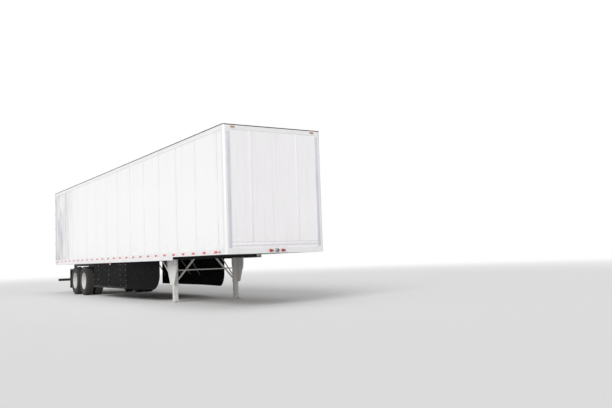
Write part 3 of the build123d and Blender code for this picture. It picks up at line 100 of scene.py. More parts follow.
class Side(Enum):
    """The two sides of the trailer, by the sign of Y."""

    LEFT = 1
    RIGHT = -1

    @property
    def word(self) -> str:
        """The side's name as the frame writes it."""
        return self.name.lower()

    @property
    def out(self) -> Vector:
        """The way out from the trailer's middle on this side."""
        return OUTWARD * self.value


class Part(Enum):
    """What an edit-mode tool picks."""

    FACES = "FACE"
    EDGES = "EDGE"


class Slot(Enum):
    """The record's finishes."""

    SKIN = "white_skin"
    DOOR = "white_door"
    RAIL = "rail_white"
    ALUMINIUM = "rail_aluminium"
    ROOF = "roof_aluminium"
    FRONT = "front_panel"
    FRAME = "rear_frame_steel"
    ZINC = "galvanised"
    CHASSIS = "chassis_black"
    LEG = "leg_grey"
    WOOD = "floor_wood"
    RUBBER = "rubber_black"
    TYRE = "tyre_black"
    WHEEL = "wheel_white"
    IRON = "hub_iron"
    SPRING = "spring_steel"
    CHAMBER = "chamber_black"
    SKIRT = "skirt_black"
    BARE = "bare_steel"
    RED_LENS = "red_lens"
    AMBER_LENS = "amber_lens"
    COUPLING = "coupling_red"
    SOCKET = "socket_grey"
    TAPE_RED = "tape_red"
    TAPE_SILVER = "tape_silver"


def feed(socket: Socket, value: object) -> None:
    """Sets an input's own value, or links it where the value is another socket.

    Args:
        socket: The input.
        value: A socket, a number, a vector or a colour.
    """
    if isinstance(value, Socket):
        socket.id_data.links.new(value, socket)
    else:
        socket.default_value = (*value, 1) if socket.type == "RGBA" else value


def add_node(
    tree: bpy.types.NodeTree, kind: str, inputs: dict | None = None, **settings: object
) -> bpy.types.Node:
    """Adds a node to a tree.

    Args:
        tree: The tree.
        kind: The node's type.
        inputs: Values or sockets for its inputs, by name or number.
        **settings: Properties of the node.

    Returns:
        The new node.
    """
    made = tree.nodes.new(kind)
    for key, value in settings.items():
        setattr(made, key, value)
    for key, value in (inputs or {}).items():
        feed(made.inputs[key], value)
    return made


class Sheet:
    """The node sheet of one material: its shader, its running colour and the maps that feed them."""

    def __init__(self, name: str, colour: Rgb) -> None:
        """Opens a sheet with the three object coordinates ready.

        Args:
            name: The material's name.
            colour: The colour that later layers are painted over.
        """
        self.material = bpy.data.materials.new(name)
        self.material.use_nodes = True
        self.tree = self.material.node_tree
        self.shader = self.tree.nodes["Principled BSDF"]
        self.place = self.node("ShaderNodeTexCoord").outputs["Object"]
        self.x, self.y, self.z = self.node("ShaderNodeSeparateXYZ", {0: self.place}).outputs
        self.colour = colour

    def node(self, kind: str, inputs: dict | None = None, **settings: object) -> bpy.types.Node:
        """Adds a node to the sheet."""
        return add_node(self.tree, kind, inputs, **settings)

    def set(self, name: str, value: object) -> None:
        """Sets or links one input of the shader."""
        feed(self.shader.inputs[name], value)

    def math(self, operation: str, *values: object) -> Socket:
        """One step of arithmetic on up to three sockets or numbers."""
        return self.node("ShaderNodeMath", dict(enumerate(values)), operation=operation).outputs[0]

    def times(self, *values: object) -> Socket:
        """The product of sockets and numbers."""
        return reduce(lambda product, value: self.math("MULTIPLY", product, value), values)

    def mask(self, value: object, empty: float, full: float) -> Socket:
        """A smooth rise from 0 where value is empty to 1 where it is full."""
        inputs = {"Value": value, "From Min": empty, "From Max": full}
        return self.node("ShaderNodeMapRange", inputs, interpolation_type="SMOOTHSTEP").outputs[0]

    def off_line(self, first: float, pitch: float) -> Socket:
        """The distance along X to the nearest of a row of lines."""
        return self.math("PINGPONG", self.math("SUBTRACT", self.x, first), pitch / 2)

    def stretched(self, scale: Triple, centre: Triple = ORIGIN) -> Socket:
        """The object coordinates, moved so that centre is the origin and then scaled."""
        inputs = {"Vector": self.place, "Scale": scale, "Location": [-c * s for c, s in zip(centre, scale)]}
        return self.node("ShaderNodeMapping", inputs).outputs[0]

    def noise(self, scale: float | Triple, detail: float = 4, rough: float = 0.6) -> Socket:
        """Cloudy noise.

        Args:
            scale: Clouds per metre, for all axes or for each.
            detail: How many finer layers it has.
            rough: How strong the finer layers are.

        Returns:
            A value about 0.5.
        """
        scales = (scale,) * 3 if isinstance(scale, (int, float)) else scale
        inputs = {"Vector": self.stretched(scales), "Scale": 1, "Detail": detail, "Roughness": rough}
        return self.node("ShaderNodeTexNoise", inputs).outputs[0]

    def patches(
        self, scale: float | Triple, empty: float, full: float, detail: float = 4, rough: float = 0.6
    ) -> Socket:
        """Noise cut down to patches, from 0 where it is empty to 1 where it is full."""
        return self.mask(self.noise(scale, detail, rough), empty, full)

    def tint(self, base: object, other: object, share: object) -> Socket:
        """Mixes two colours by a share from 0 to 1."""
        inputs = {0: share, 6: base, 7: other}
        return self.node("ShaderNodeMix", inputs, data_type="RGBA").outputs[2]

    def paint(self, colour: object, *shares: object) -> None:
        """Lays a colour over the running colour, by the product of the shares."""
        self.colour = self.tint(self.colour, colour, self.times(*shares))

    def dull(self, share: Socket, gain: float, least: float) -> None:
        """Raises the roughness from its least by a share of gain."""
        self.set("Roughness", self.math("MULTIPLY_ADD", share, gain, least))

    def relief(self, height: object, depth: float) -> None:
        """Adds a relief to the surface.

        Args:
            height: A socket from 0 to 1.
            depth: The height of a full step in metres.
        """
        inputs = {"Height": height, "Distance": depth, "Strength": 1}
        under = self.shader.inputs["Normal"].links
        if under:
            inputs["Normal"] = under[0].from_socket
        self.set("Normal", self.node("ShaderNodeBump", inputs).outputs[0])


def toned(colour: Rgb, share: float, lift: float = 0.0) -> Rgb:
    """A colour made darker or lighter by a share and then lifted, and kept under full white."""
    return tuple(min(1.0, channel * share + lift) for channel in colour)


@dataclass(frozen=True)
class Finish:
    """How one kind of surface looks."""

    slot: Slot
    colour: Rgb
    roughness: float = 0.5
    metallic: float = 0.0
    coat: float = 0.0
    gloss: float = 0.5
    name: str = ""

    def material(self) -> bpy.types.Material:
        """Makes the finish's material once, and shares it.

        Returns:
            The material.
        """
        name = self.name or f"{self.slot.value}_finish"
        known = bpy.data.materials.get(name)
        if known:
            return known
        sheet = Sheet(name, self.colour)
        sheet.set("Roughness", self.roughness)
        sheet.set("Metallic", self.metallic)
        sheet.set("Coat Weight", self.coat)
        sheet.set("Specular IOR Level", self.gloss)
        self.dress(sheet)
        sheet.set("Base Color", sheet.colour)
        return sheet.material

    def dress(self, sheet: Sheet) -> None:
        """Adds the finish's own maps to a sheet."""


@dataclass(frozen=True)
class Coating(Finish):
    """Paint or bare metal out on the road: clouds, dust from below, streaks, chips and rust."""

    cloud: float = 0.12
    spray_top: float = 1.1
    spray_depth: float = 0.9
    spray: float = 0.3
    streaks: float = 0.0
    rust: float = 0.0
    grain: float = 0.00015

    def dress(self, sheet: Sheet) -> None:
        """Lays the wear over the coat, from the oldest layer to the newest.

        Args:
            sheet: The material's sheet.
        """
        sheet.paint(toned(self.colour, 0.72), sheet.noise(2.3), self.cloud * 4)
        mottle = sheet.patches(13, 0.35, 0.75, detail=8)
        if self.streaks:
            sheet.paint(GRIME, sheet.patches((30, 30, 0.6), 0.50, 0.74, detail=3), self.streaks)
        if self.rust:
            empty, full = 0.72 - self.rust * 0.24, 0.80 - self.rust * 0.2
            sheet.paint(RUST, sheet.patches(38, empty, full, detail=9, rough=0.7))
        if self.spray:
            low = sheet.mask(sheet.z, self.spray_top, self.spray_top - self.spray_depth)
            sheet.paint(DUST, low, mottle, self.spray * 1.6)
        sheet.dull(mottle, 0.22, self.roughness - 0.08)
        sheet.relief(sheet.noise(260, detail=2), self.grain)


@dataclass(frozen=True)
class SideSkin(Finish):
    """Long smooth side skin: drawn in at its seams with painted shade beside them, streaked from above, and
    with painted dappled shade and reflection at the tail.
    """

    seam_x: float = 7.7195
    seam_pitch: float = 1.22
    lining_y: float = 1.284
    tail_x: float = -7.98
    tail_length: float = 3.4
    base_z: float = 1.33
    top_z: float = 3.98
    # The colour of the painted dappled shade and reflection on the tail.
    aged: Rgb = (0.36, 0.335, 0.40)
    lining: Rgb = (0.74, 0.73, 0.70)

    def dress(self, sheet: Sheet) -> None:
        """Paints the outside and the lining, which share the panel.

        Args:
            sheet: The material's sheet.
        """
        off_seam = sheet.off_line(self.seam_x, self.seam_pitch)
        inside = sheet.math("LESS_THAN", sheet.math("ABSOLUTE", sheet.y), self.lining_y)
        self.weather(sheet, off_seam)
        sheet.paint(self.lined(sheet), inside)
        sheet.relief(sheet.mask(off_seam, 0.0, 0.16), 0.0016)
        sheet.relief(sheet.noise((1.6, 1.6, 1.1), detail=3), 0.004)
        sheet.relief(sheet.noise(420, detail=2), 0.00004)

    def weather(self, sheet: Sheet, off_seam: Socket) -> None:
        """Paints the outside: dirty seams with painted shade beside them, rain streaks, painted dappled shade
        and reflection at the tail, and road dust.

        Args:
            sheet: The material's sheet.
            off_seam: The distance to the nearest seam.
        """
        sheet.paint(toned(self.colour, 0.95), sheet.noise(0.9))
        # Patches shared by the dirty seam lines and the painted shade beside them.
        seam_dirt_and_shade = sheet.patches((9, 9, 1.2), 0.30, 0.62, detail=5)
        sheet.paint((0.50, 0.495, 0.51), sheet.mask(off_seam, 0.014, 0.004), seam_dirt_and_shade, 0.60)
        # Painted shade: a faint grey band either side of each seam, where the skin draws in.
        sheet.paint((0.60, 0.59, 0.60), sheet.mask(off_seam, 0.075, 0.02), seam_dirt_and_shade, 0.16)
        runs = sheet.patches((17, 17, 0.34), 0.46, 0.74, detail=5)
        sheet.paint((0.50, 0.49, 0.50), runs, sheet.mask(sheet.z, self.top_z - 1.5, self.top_z), 0.22)
        # Painted dappled shade and reflection, mottled and streaked upright, over the last metres of the
        # skin.
        tail = sheet.mask(sheet.x, self.tail_x + self.tail_length, self.tail_x + 0.2)
        sheet.paint(self.aged, tail, sheet.patches((2.4, 2.4, 0.7), 0.36, 0.60, detail=6), 0.70)
        sheet.paint(toned(self.aged, 0.62), tail, sheet.patches((11, 11, 0.5), 0.44, 0.66), 0.52)
        foot = sheet.mask(sheet.z, self.base_z + 0.5, self.base_z)
        sheet.paint(DUST, foot, sheet.patches(7, 0.42, 0.8, detail=7), 0.18)

    def lined(self, sheet: Sheet) -> Socket:
        """The lining's colour, scuffed lengthwise by freight.

        Args:
            sheet: The material's sheet.

        Returns:
            The colour.
        """
        scuffs = sheet.patches((3.5, 3.5, 26), 0.56, 0.68, detail=6)
        low = sheet.times(scuffs, sheet.mask(sheet.z, 2.6, 1.4), 0.7)
        return sheet.tint(self.lining, (0.30, 0.28, 0.26), low)


@dataclass(frozen=True)
class Zinc(Finish):
    """Galvanised steel with its spangle, white bloom and a few rusty spots."""

    spangle: float = 70.0
    rust: float = 0.25

    def dress(self, sheet: Sheet) -> None:
        """Gives each zinc crystal its own tone and gloss.

        Args:
            sheet: The material's sheet.
        """
        cells = sheet.node("ShaderNodeTexVoronoi", {"Vector": sheet.place, "Scale": self.spangle})
        tone = sheet.node("ShaderNodeSeparateColor", {0: cells.outputs["Color"]}).outputs[0]
        sheet.paint(toned(self.colour, 1.28), tone)
        sheet.paint((0.62, 0.62, 0.60), sheet.patches(6, 0.5, 0.8, detail=7), 0.5)
        sheet.paint(RUST, sheet.patches(27, 0.70 - self.rust * 0.2, 0.78, detail=9, rough=0.72))
        sheet.dull(tone, 0.16, self.roughness)
        sheet.relief(sheet.noise(180, detail=3), 0.0002)


@dataclass(frozen=True)
class Brushed(Finish):
    """Rolled or extruded aluminium and stainless: fine lines along one axis, stains, water marks."""

    lines: Triple = (2.0, 260.0, 260.0)
    stain: float = 0.3
    stained: Rgb = (0.34, 0.33, 0.32)

    def dress(self, sheet: Sheet) -> None:
        """Draws the rolling lines and the weather on them.

        Args:
            sheet: The material's sheet.
        """
        rolled = sheet.noise(self.lines, detail=3)
        sheet.colour = toned(self.colour, 0.9)
        sheet.paint(self.colour, rolled)
        marks = sheet.patches((2.6, 2.6, 1.6), 0.46, 0.78, detail=8, rough=0.65)
        sheet.paint(self.stained, marks, self.stain)
        sheet.dull(marks, 0.24, self.roughness)
        sheet.relief(rolled, 0.00006)


@dataclass(frozen=True)
class RoofSheet(Brushed):
    """One long thin sheet over the bows: it shows each bow, sags between them and holds dust."""

    bow_x: float = 7.6595
    bow_pitch: float = 0.61

    def dress(self, sheet: Sheet) -> None:
        """Lets the bows show through the rolled sheet.

        Args:
            sheet: The material's sheet.
        """
        super().dress(sheet)
        off_bow = sheet.off_line(self.bow_x, self.bow_pitch)
        sheet.relief(sheet.mask(off_bow, 0.09, 0.02), 0.0018)
        sheet.relief(sheet.noise((1.3, 1.6, 1.3), detail=1), 0.002)
        pools = sheet.patches(1.1, 0.30, 0.80, detail=8)
        sheet.paint((0.42, 0.40, 0.37), sheet.mask(off_bow, 0.02, 0.16), pools, 0.34)


@dataclass(frozen=True)
class PlankFloor(Finish):
    """Laminated hardwood: narrow strips end to end, with wheel scuffs along the middle."""

    strip: float = 0.036
    length: float = 0.9

    def dress(self, sheet: Sheet) -> None:
        """Lays the strips, their grain and the wear.

        Args:
            sheet: The material's sheet.
        """
        inputs = {"Vector": sheet.place, "Color1": self.colour, "Color2": toned(self.colour, 1.35)}
        inputs |= {"Scale": 1, "Mortar": (0.10, 0.065, 0.04), "Mortar Size": 0.0012, "Bias": -0.1}
        inputs |= {"Brick Width": self.length, "Row Height": self.strip}
        strips = sheet.node("ShaderNodeTexBrick", inputs, offset=0.37, squash=1)
        grain = sheet.noise((3, 210, 210), detail=5)
        sheet.colour = strips.outputs["Color"]
        sheet.paint((0.13, 0.08, 0.045), grain, 0.55)
        sheet.paint((0.09, 0.075, 0.065), sheet.patches((0.8, 16, 1), 0.5, 0.75, detail=6), 0.65)
        sheet.relief(grain, 0.0004)
        sheet.relief(strips.outputs["Fac"], -0.0008)


@dataclass(frozen=True)
class Rubber(Finish):
    """Moulded rubber with dust in its surface."""

    dust: float = 0.12
    dust_scale: float = 16.0

    def dress(self, sheet: Sheet) -> None:
        """Dusts the rubber and gives it its fine grain.

        Args:
            sheet: The material's sheet.
        """
        powder = sheet.patches(self.dust_scale, 0.34, 0.76, detail=8, rough=0.65)
        sheet.paint(DUST, powder, self.dust)
        sheet.dull(powder, 0.2, self.roughness)
        sheet.relief(sheet.noise(340, detail=3), 0.0003)


@dataclass(frozen=True)
class TyreRubber(Finish):
    """Road tyre: grey worn tread, dusty sidewalls with fine mould lines round the axle."""

    axle_x: float = 0.0
    axle_z: float = 0.515
    tread_r: float = 0.506
    wall_r: float = 0.46
    tread: Rgb = (0.035, 0.034, 0.034)
    dusted: Rgb = (0.085, 0.078, 0.070)

    def dress(self, sheet: Sheet) -> None:
        """Works outwards from the axle line, so that each band of the tyre has its own wear.

        Args:
            sheet: The material's sheet.
        """
        spread = sheet.stretched((1, 0, 1), (self.axle_x, 0, self.axle_z))
        radius = sheet.node("ShaderNodeVectorMath", {0: spread}, operation="LENGTH").outputs["Value"]
        powder = sheet.patches(24, 0.30, 0.78, detail=8, rough=0.68)
        sheet.paint(DUST, powder, 0.12)
        worn = sheet.mask(radius, self.tread_r - 0.004, self.tread_r + 0.003)
        sheet.paint(sheet.tint(self.tread, self.dusted, powder), worn)
        rings = sheet.math("SINE", sheet.math("MULTIPLY", radius, 1500))
        sheet.relief(sheet.times(rings, sheet.mask(radius, self.wall_r + 0.02, self.wall_r)), 0.00025)
        sheet.relief(sheet.noise(300, detail=3), 0.0004)


@dataclass(frozen=True)
class Lens(Finish):
    """Moulded lamp lens with a grid of small prisms."""

    prisms: float = 950.0
    glow: float = 0.12

    def dress(self, sheet: Sheet) -> None:
        """Raises the prisms behind a clear smooth face.

        Args:
            sheet: The material's sheet.
        """
        sheet.set("Transmission Weight", 0.25)
        sheet.set("Emission Color", self.colour)
        sheet.set("Emission Strength", self.glow)
        waves = [sheet.math("SINE", sheet.times(axis, self.prisms)) for axis in (sheet.x, sheet.y, sheet.z)]
        sheet.relief(sheet.times(sheet.math("ADD", waves[0], waves[1]), waves[2]), 0.0003)
        sheet.paint(toned(self.colour, 0.55, 0.06), sheet.patches(60, 0.5, 0.9, detail=6))


@dataclass(frozen=True)
class Tape(Finish):
    """Retroreflective tape with its small cells, a little soiled."""

    cells: float = 210.0

    def dress(self, sheet: Sheet) -> None:
        """Draws the cells as fine pale lines.

        Args:
            sheet: The material's sheet.
        """
        inputs = {"Vector": sheet.place, "Scale": self.cells}
        edge = sheet.node("ShaderNodeTexVoronoi", inputs, feature="DISTANCE_TO_EDGE").outputs[0]
        sheet.colour = toned(self.colour, 1.15, 0.04)
        sheet.paint(self.colour, sheet.mask(edge, 0.02, 0.12))
        sheet.paint(DUST, sheet.patches(11, 0.48, 0.85, detail=7), 0.3)
        sheet.relief(sheet.mask(edge, 0.0, 0.08), 0.0001)


UPRIGHT = (260.0, 260.0, 2.0)
SKIN = SideSkin(Slot.SKIN, (0.93, 0.925, 0.93), 0.34, coat=0.2)
DOOR = Coating(Slot.DOOR, (0.86, 0.86, 0.86), 0.34, coat=0.2, spray_top=2.3, spray=0.20, streaks=0.18)
RAIL = Coating(Slot.RAIL, (0.91, 0.905, 0.91), 0.38, coat=0.15, spray_top=1.75, spray=0.16, streaks=0.10)
CORNER = Brushed(Slot.ALUMINIUM, (0.86, 0.86, 0.87), 0.38, 0.35, lines=UPRIGHT, stain=0.14)
BAND = Brushed(Slot.ALUMINIUM, (0.70, 0.69, 0.76), 0.42, 0.2, name="nose_band", lines=UPRIGHT)
ROOF = RoofSheet(Slot.ROOF, (0.40, 0.405, 0.41), 0.7, 0.0, gloss=0.15, stain=0.25)
FRONT = Coating(
    Slot.FRONT, (0.90, 0.885, 0.90), 0.38, coat=0.1, cloud=0.05, spray_top=2.0, spray=0.08, streaks=0.09
)
STAINLESS = Brushed(Slot.FRAME, (0.60, 0.60, 0.61), 0.33, 0.85, lines=(240.0, 240.0, 2.0), stain=0.35)
ZINC = Zinc(Slot.ZINC, (0.42, 0.43, 0.44), 0.38, 0.8)
CHASSIS = Coating(
    Slot.CHASSIS, (0.016, 0.016, 0.018), 0.55, gloss=0.3, spray_top=1.3, spray=0.16, rust=0.40, grain=0.0004
)
LEG = Coating(Slot.LEG, (0.78, 0.77, 0.75), 0.46, spray_top=0.75, spray=0.42, streaks=0.16, rust=0.40)
WOOD = PlankFloor(Slot.WOOD, (0.30, 0.185, 0.10), 0.62)
RUBBER = Rubber(Slot.RUBBER, (0.014, 0.014, 0.015), 0.62, gloss=0.15)
WHEEL = Coating(
    Slot.WHEEL, (0.74, 0.74, 0.73), 0.40, coat=0.1, cloud=0.2, spray_top=1.9, spray=0.40, rust=0.3
)
IRON = Coating(Slot.IRON, (0.075, 0.072, 0.07), 0.58, 0.3, spray_top=1.8, spray=0.35, rust=0.85, grain=0.0007)
SPRING = Coating(
    Slot.SPRING, (0.055, 0.05, 0.047), 0.55, 0.3, spray_top=1.5, spray=0.3, rust=0.7, grain=0.0005
)
CHAMBER = Coating(Slot.CHAMBER, (0.024, 0.024, 0.028), 0.45, coat=0.1, spray_top=1.5, spray=0.35, rust=0.3)
# Near-black skirts: black plastic taken down almost to nothing, with only faint dust and streaks, as painted
# shade of the trailer's underside.
SKIRT = Coating(
    Slot.SKIRT, (0.004, 0.004, 0.005), 0.62, gloss=0.04, spray_top=0.70, spray=0.02,
    streaks=0.004, grain=0.0001,
)
BARE = Brushed(Slot.BARE, (0.40, 0.39, 0.38), 0.30, 0.9, lines=(300.0, 300.0, 6.0), stain=0.7)
RED_LENS = Lens(Slot.RED_LENS, (0.50, 0.012, 0.014), 0.12, coat=1.0)
AMBER_LENS = Lens(Slot.AMBER_LENS, (0.86, 0.26, 0.012), 0.12, coat=1.0)
COUPLING = Coating(Slot.COUPLING, (0.42, 0.04, 0.03), 0.45, rust=0.45, spray=0.1)
SOCKET = Brushed(Slot.SOCKET, (0.46, 0.47, 0.48), 0.42, 0.7, lines=(40.0, 40.0, 40.0), stain=0.4)
TAPE_RED = Tape(Slot.TAPE_RED, (0.66, 0.02, 0.045), 0.30, coat=0.4)
TAPE_SILVER = Tape(Slot.TAPE_SILVER, (0.80, 0.80, 0.82), 0.30, 0.2, coat=0.4)


def at_rest() -> None:
    """Object mode with nothing selected, which every tool starts from."""
    if bpy.context.object and bpy.context.object.mode != "OBJECT":
        bpy.ops.object.mode_set(mode="OBJECT")
    bpy.ops.object.select_all(action="DESELECT")


def take_up(piece: Piece) -> None:
    """Makes one piece the only one selected and the active one.

    Args:
        piece: The piece to work on.
    """
    at_rest()
    bpy.context.view_layer.objects.active = piece
    piece.select_set(True)


def settled(piece: Piece | None = None) -> Piece:
    """Puts a piece's place into its mesh.

    Args:
        piece: The piece, or None for the one that a tool has just added.

    Returns:
        The piece, at the origin and unturned.
    """
    piece = piece or bpy.context.object
    take_up(piece)
    bpy.ops.object.transform_apply(location=True, rotation=True, scale=True)
    return piece


def placed(name: str, data: bpy.types.ID) -> Piece:
    """A new object in the scene for a mesh, camera or lamp.

    Args:
        name: The object's name.
        data: What it holds.

    Returns:
        The object.
    """
    made = bpy.data.objects.new(name, data)
    bpy.context.scene.collection.objects.link(made)
    return made


@contextmanager
def shaping(piece: Piece, part: Part = Part.FACES) -> Iterator[None]:
    """Edit mode on one piece, with nothing selected, and object mode again afterwards.

    Args:
        piece: The piece to shape.
        part: Whether the tools pick faces or edges.

    Yields:
        Nothing, while edit mode is on.
    """
    take_up(piece)
    bpy.ops.object.mode_set(mode="EDIT")
    bpy.ops.mesh.select_mode(type=part.value)
    bpy.ops.mesh.select_all(action="DESELECT")
    yield
    bpy.ops.object.mode_set(mode="OBJECT")


def closed_up() -> None:
    """Merges doubles and turns every face outwards, in edit mode."""
    bpy.ops.mesh.select_all(action="SELECT")
    bpy.ops.mesh.remove_doubles(threshold=WELD)
    bpy.ops.mesh.normals_make_consistent(inside=False)


def pick(piece: Piece, part: Part, test: Test) -> None:
    """Selects, in edit mode, the faces or edges that pass a test.

    Args:
        piece: The piece in edit mode.
        part: Faces or edges.
        test: Takes a face's centre and normal, or an edge's middle and direction.
    """
    mesh = bmesh.from_edit_mesh(piece.data)
    for face in mesh.faces if part is Part.FACES else ():
        face.select_set(test(face.calc_center_median(), face.normal))
    for edge in mesh.edges if part is Part.EDGES else ():
        start, end = (v.co for v in edge.verts)
        edge.select_set(test((start + end) / 2, (end - start).normalized()))
    bmesh.update_edit_mesh(piece.data)


def shape(piece: Piece, part: Part, test: Test, tool: Callable, **settings: object) -> Piece:
    """Runs one edit-mode tool on the faces or edges that pass a test.

    Args:
        piece: The piece to shape.
        part: Faces or edges.
        test: Says which of them the tool works on.
        tool: A bpy.ops.mesh operator.
        **settings: The operator's settings.

    Returns:
        The same piece.
    """
    with shaping(piece, part):
        pick(piece, part, test)
        tool(**settings)
    return piece


def everywhere(_place: Vector, _way: Vector) -> bool:
    """Passes every face or edge."""
    return True


def facing(way: Vector) -> Test:
    """A test that passes the faces that look one way."""
    return lambda _place, normal: normal.dot(way) > 0.9


def modified(piece: Piece, kind: str, **settings: object) -> Piece:
    """Applies one modifier.

    Args:
        piece: The piece to change.
        kind: The modifier's type.
        **settings: Its settings.

    Returns:
        The same piece.
    """
    take_up(piece)
    modifier = piece.modifiers.new(kind, kind)
    for key, value in settings.items():
        setattr(modifier, key, value)
    bpy.ops.object.modifier_apply(modifier=modifier.name)
    return piece


def softened(piece: Piece, width: float, segments: int = 2, sharp: float = 0.7) -> Piece:
    """Rounds every edge that turns by more than an angle in radians."""
    return modified(piece, "BEVEL", width=width, segments=segments, limit_method="ANGLE", angle_limit=sharp)


def block(low: Triple, high: Triple, ease: float = 0.0) -> Piece:
    """A box.

    Args:
        low: One corner.
        high: The opposite corner.
        ease: The rounding of its edges.

    Returns:
        The box.
    """
    at_rest()
    size = Vector([abs(b - a) for a, b in zip(low, high)])
    bpy.ops.mesh.primitive_cube_add(size=1, location=(Vector(low) + Vector(high)) / 2, scale=size)
    piece = settled()
    if ease:
        shape(piece, Part.EDGES, everywhere, bpy.ops.mesh.bevel, offset=ease, segments=2)
    return piece


def box_at(middle: Vector, half: Triple, ease: float = 0.0) -> Piece:
    """A box about its middle, from its half sizes."""
    return block(middle - Vector(half), middle + Vector(half), ease)


def bar(radius: float, start: Triple, end: Triple, sides: int = 24, tip: float | None = None) -> Piece:
    """A round bar between two points.

    Args:
        radius: Its radius at the start.
        start: The middle of its first end.
        end: The middle of its other end.
        sides: How many flats it has round it.
        tip: Its radius at the end, where it tapers.

    Returns:
        The bar.
    """
    at_rest()
    run = Vector(end) - Vector(start)
    sizes = {"vertices": sides, "radius1": radius, "radius2": radius if tip is None else tip}
    sizes |= {"depth": run.length, "rotation": run.to_track_quat("Z", "Y").to_euler()}
    bpy.ops.mesh.primitive_cone_add(location=(Vector(start) + Vector(end)) / 2, **sizes)
    return settled()


def outline(points: Sequence[Triple], filled: bool = False) -> Piece:
    """A closed outline.

    Args:
        points: Its corners in order.
        filled: Whether a face fills it.

    Returns:
        The outline.
    """
    at_rest()
    bpy.ops.mesh.primitive_circle_add(vertices=len(points), fill_type="NGON" if filled else "NOTHING")
    piece = settled()
    for corner, point in zip(piece.data.vertices, points):
        corner.co = point
    return piece


def plate(points: Sequence[Triple], thickness: Triple, ease: float = 0.0) -> Piece:
    """A flat plate.

    Args:
        points: The corners of one face.
        thickness: The way from there to the other face.
        ease: The rounding of its edges.

    Returns:
        The plate.
    """
    piece = outline(points, filled=True)
    with shaping(piece):
        bpy.ops.mesh.select_all(action="SELECT")
        bpy.ops.mesh.extrude_region_move(TRANSFORM_OT_translate={"value": tuple(thickness)})
        closed_up()
    return softened(piece, ease) if ease else piece


def arc(
    centre: Triple, radius: float, turns: Pair, across: Vector, along: Vector, steps: int = 12
) -> list[Vector]:
    """Points round part of a circle.

    Args:
        centre: The circle's centre.
        radius: Its radius.
        turns: The first and last angle, in radians from across towards along.
        across: The direction of angle zero.
        along: The direction of a quarter turn.
        steps: How many steps lie between the two angles.

    Returns:
        The points in order.
    """
    angles = [turns[0] + (turns[1] - turns[0]) * k / steps for k in range(steps + 1)]
    return [Vector(centre) + (across * math.cos(a) + along * math.sin(a)) * radius for a in angles]


def ring(centre: Triple, radius: float, count: int, across: Vector, start: float = 0.0) -> list[Vector]:
    """A ring of evenly spaced points, the first at an angle from across towards UP."""
    return arc(centre, radius, (start, start + FULL_TURN * (count - 1) / count), across, UP, count - 1)


def lathe(profile: Sequence[Pair], centre: Triple, axis: Vector, steps: int = 48) -> Piece:
    """Turns a closed profile round an axis.

    Args:
        profile: Points as (distance along the axis, radius).
        centre: The point that distances start from.
        axis: The direction of the axis.
        steps: How many flats the turned piece has.

    Returns:
        The turned piece.
    """
    radial = axis.orthogonal().normalized()
    piece = outline([Vector(centre) + axis * along + radial * radius for along, radius in profile])
    with shaping(piece):
        bpy.ops.mesh.select_all(action="SELECT")
        bpy.ops.mesh.spin(steps=steps, angle=FULL_TURN, center=centre, axis=axis)
        closed_up()
    return piece


def row(piece: Piece, step: Triple, count: int) -> Piece:
    """Repeats a piece count times, a step apart."""
    settings = {"use_relative_offset": False, "use_constant_offset": True}
    return modified(piece, "ARRAY", constant_offset_displace=step, count=count, **settings)


def moved(piece: Piece, move: Triple) -> Piece:
    """Moves a piece, in its mesh."""
    piece.location = move
    return settled(piece)


def copied(piece: Piece, move: Triple = ORIGIN, turn: float = 0.0) -> Piece:
    """A copy with its own mesh.

    Args:
        piece: The model.
        move: How far the copy stands from it.
        turn: How far the copy is turned first, about the vertical through the origin.

    Returns:
        The copy.
    """
    copy = placed("copy", piece.data.copy())
    copy.rotation_euler = (0, 0, turn)
    copy.location = move
    return settled(copy)


def joined(parts: Piece | Sequence[Piece]) -> Piece:
    """Joins parts into one mesh.

    Args:
        parts: One part or several.

    Returns:
        The first part, which holds them all.
    """
    pieces = [parts] if isinstance(parts, Piece) else parts
    take_up(pieces[0])
    for piece in pieces:
        piece.select_set(True)
    if len(pieces) > 1:
        bpy.ops.object.join()
    return pieces[0]


def both_sides(parts: Piece | Sequence[Piece]) -> Piece:
    """Parts of the left side together with their mirror image across the trailer's middle plane.

    Args:
        parts: One part or several.

    Returns:
        The pair as one piece.
    """
    piece = joined(parts)
    mirror = copied(piece)
    mirror.scale = (1, -1, 1)
    settled(mirror)
    with shaping(mirror):
        closed_up()
    return joined([piece, mirror])


def cut(piece: Piece, cutters: Sequence[Piece]) -> Piece:
    """Cuts shapes out of a piece.

    Args:
        piece: The piece.
        cutters: The shapes, which are used up.

    Returns:
        The same piece.
    """
    cutter = joined(cutters)
    modified(piece, "BOOLEAN", operation="DIFFERENCE", solver="EXACT", object=cutter)
    bpy.data.objects.remove(cutter)
    return piece


def scattered(piece: Piece, places: Iterable[Triple]) -> Piece:
    """Copies one piece to many places.

    Args:
        piece: The model, at the origin, which is used up.
        places: Where the copies stand.

    Returns:
        The copies as one piece.
    """
    copies = [copied(piece, place) for place in places]
    bpy.data.objects.remove(piece)
    return joined(copies)


def rivet(way: Vector, radius: float = 0.006, height: float = 0.0022) -> Piece:
    """One rivet head at the origin.

    Args:
        way: The direction that it stands along.
        radius: The head's radius.
        height: How far the head stands out.

    Returns:
        The rivet.
    """
    head = bar(radius, ORIGIN, way * height, sides=8, tip=radius * 0.72)
    dome = {"thickness": radius * 0.3, "depth": height * 0.3}
    return shape(head, Part.FACES, facing(way), bpy.ops.mesh.inset, **dome)


def hex_bolt(way: Vector, radius: float = 0.011, height: float = 0.009) -> Piece:
    """One hexagon bolt head on its washer, at the origin.

    Args:
        way: The direction that it stands along.
        radius: The head's radius.
        height: How far the head stands out.

    Returns:
        The bolt.
    """
    seat = way * height * 0.25
    washer = bar(radius * 1.45, ORIGIN, seat, sides=16)
    head = bar(radius, seat, way * height, sides=6)
    shape(head, Part.FACES, facing(way), bpy.ops.mesh.inset, thickness=radius * 0.18, depth=height * 0.12)
    return joined([washer, head])


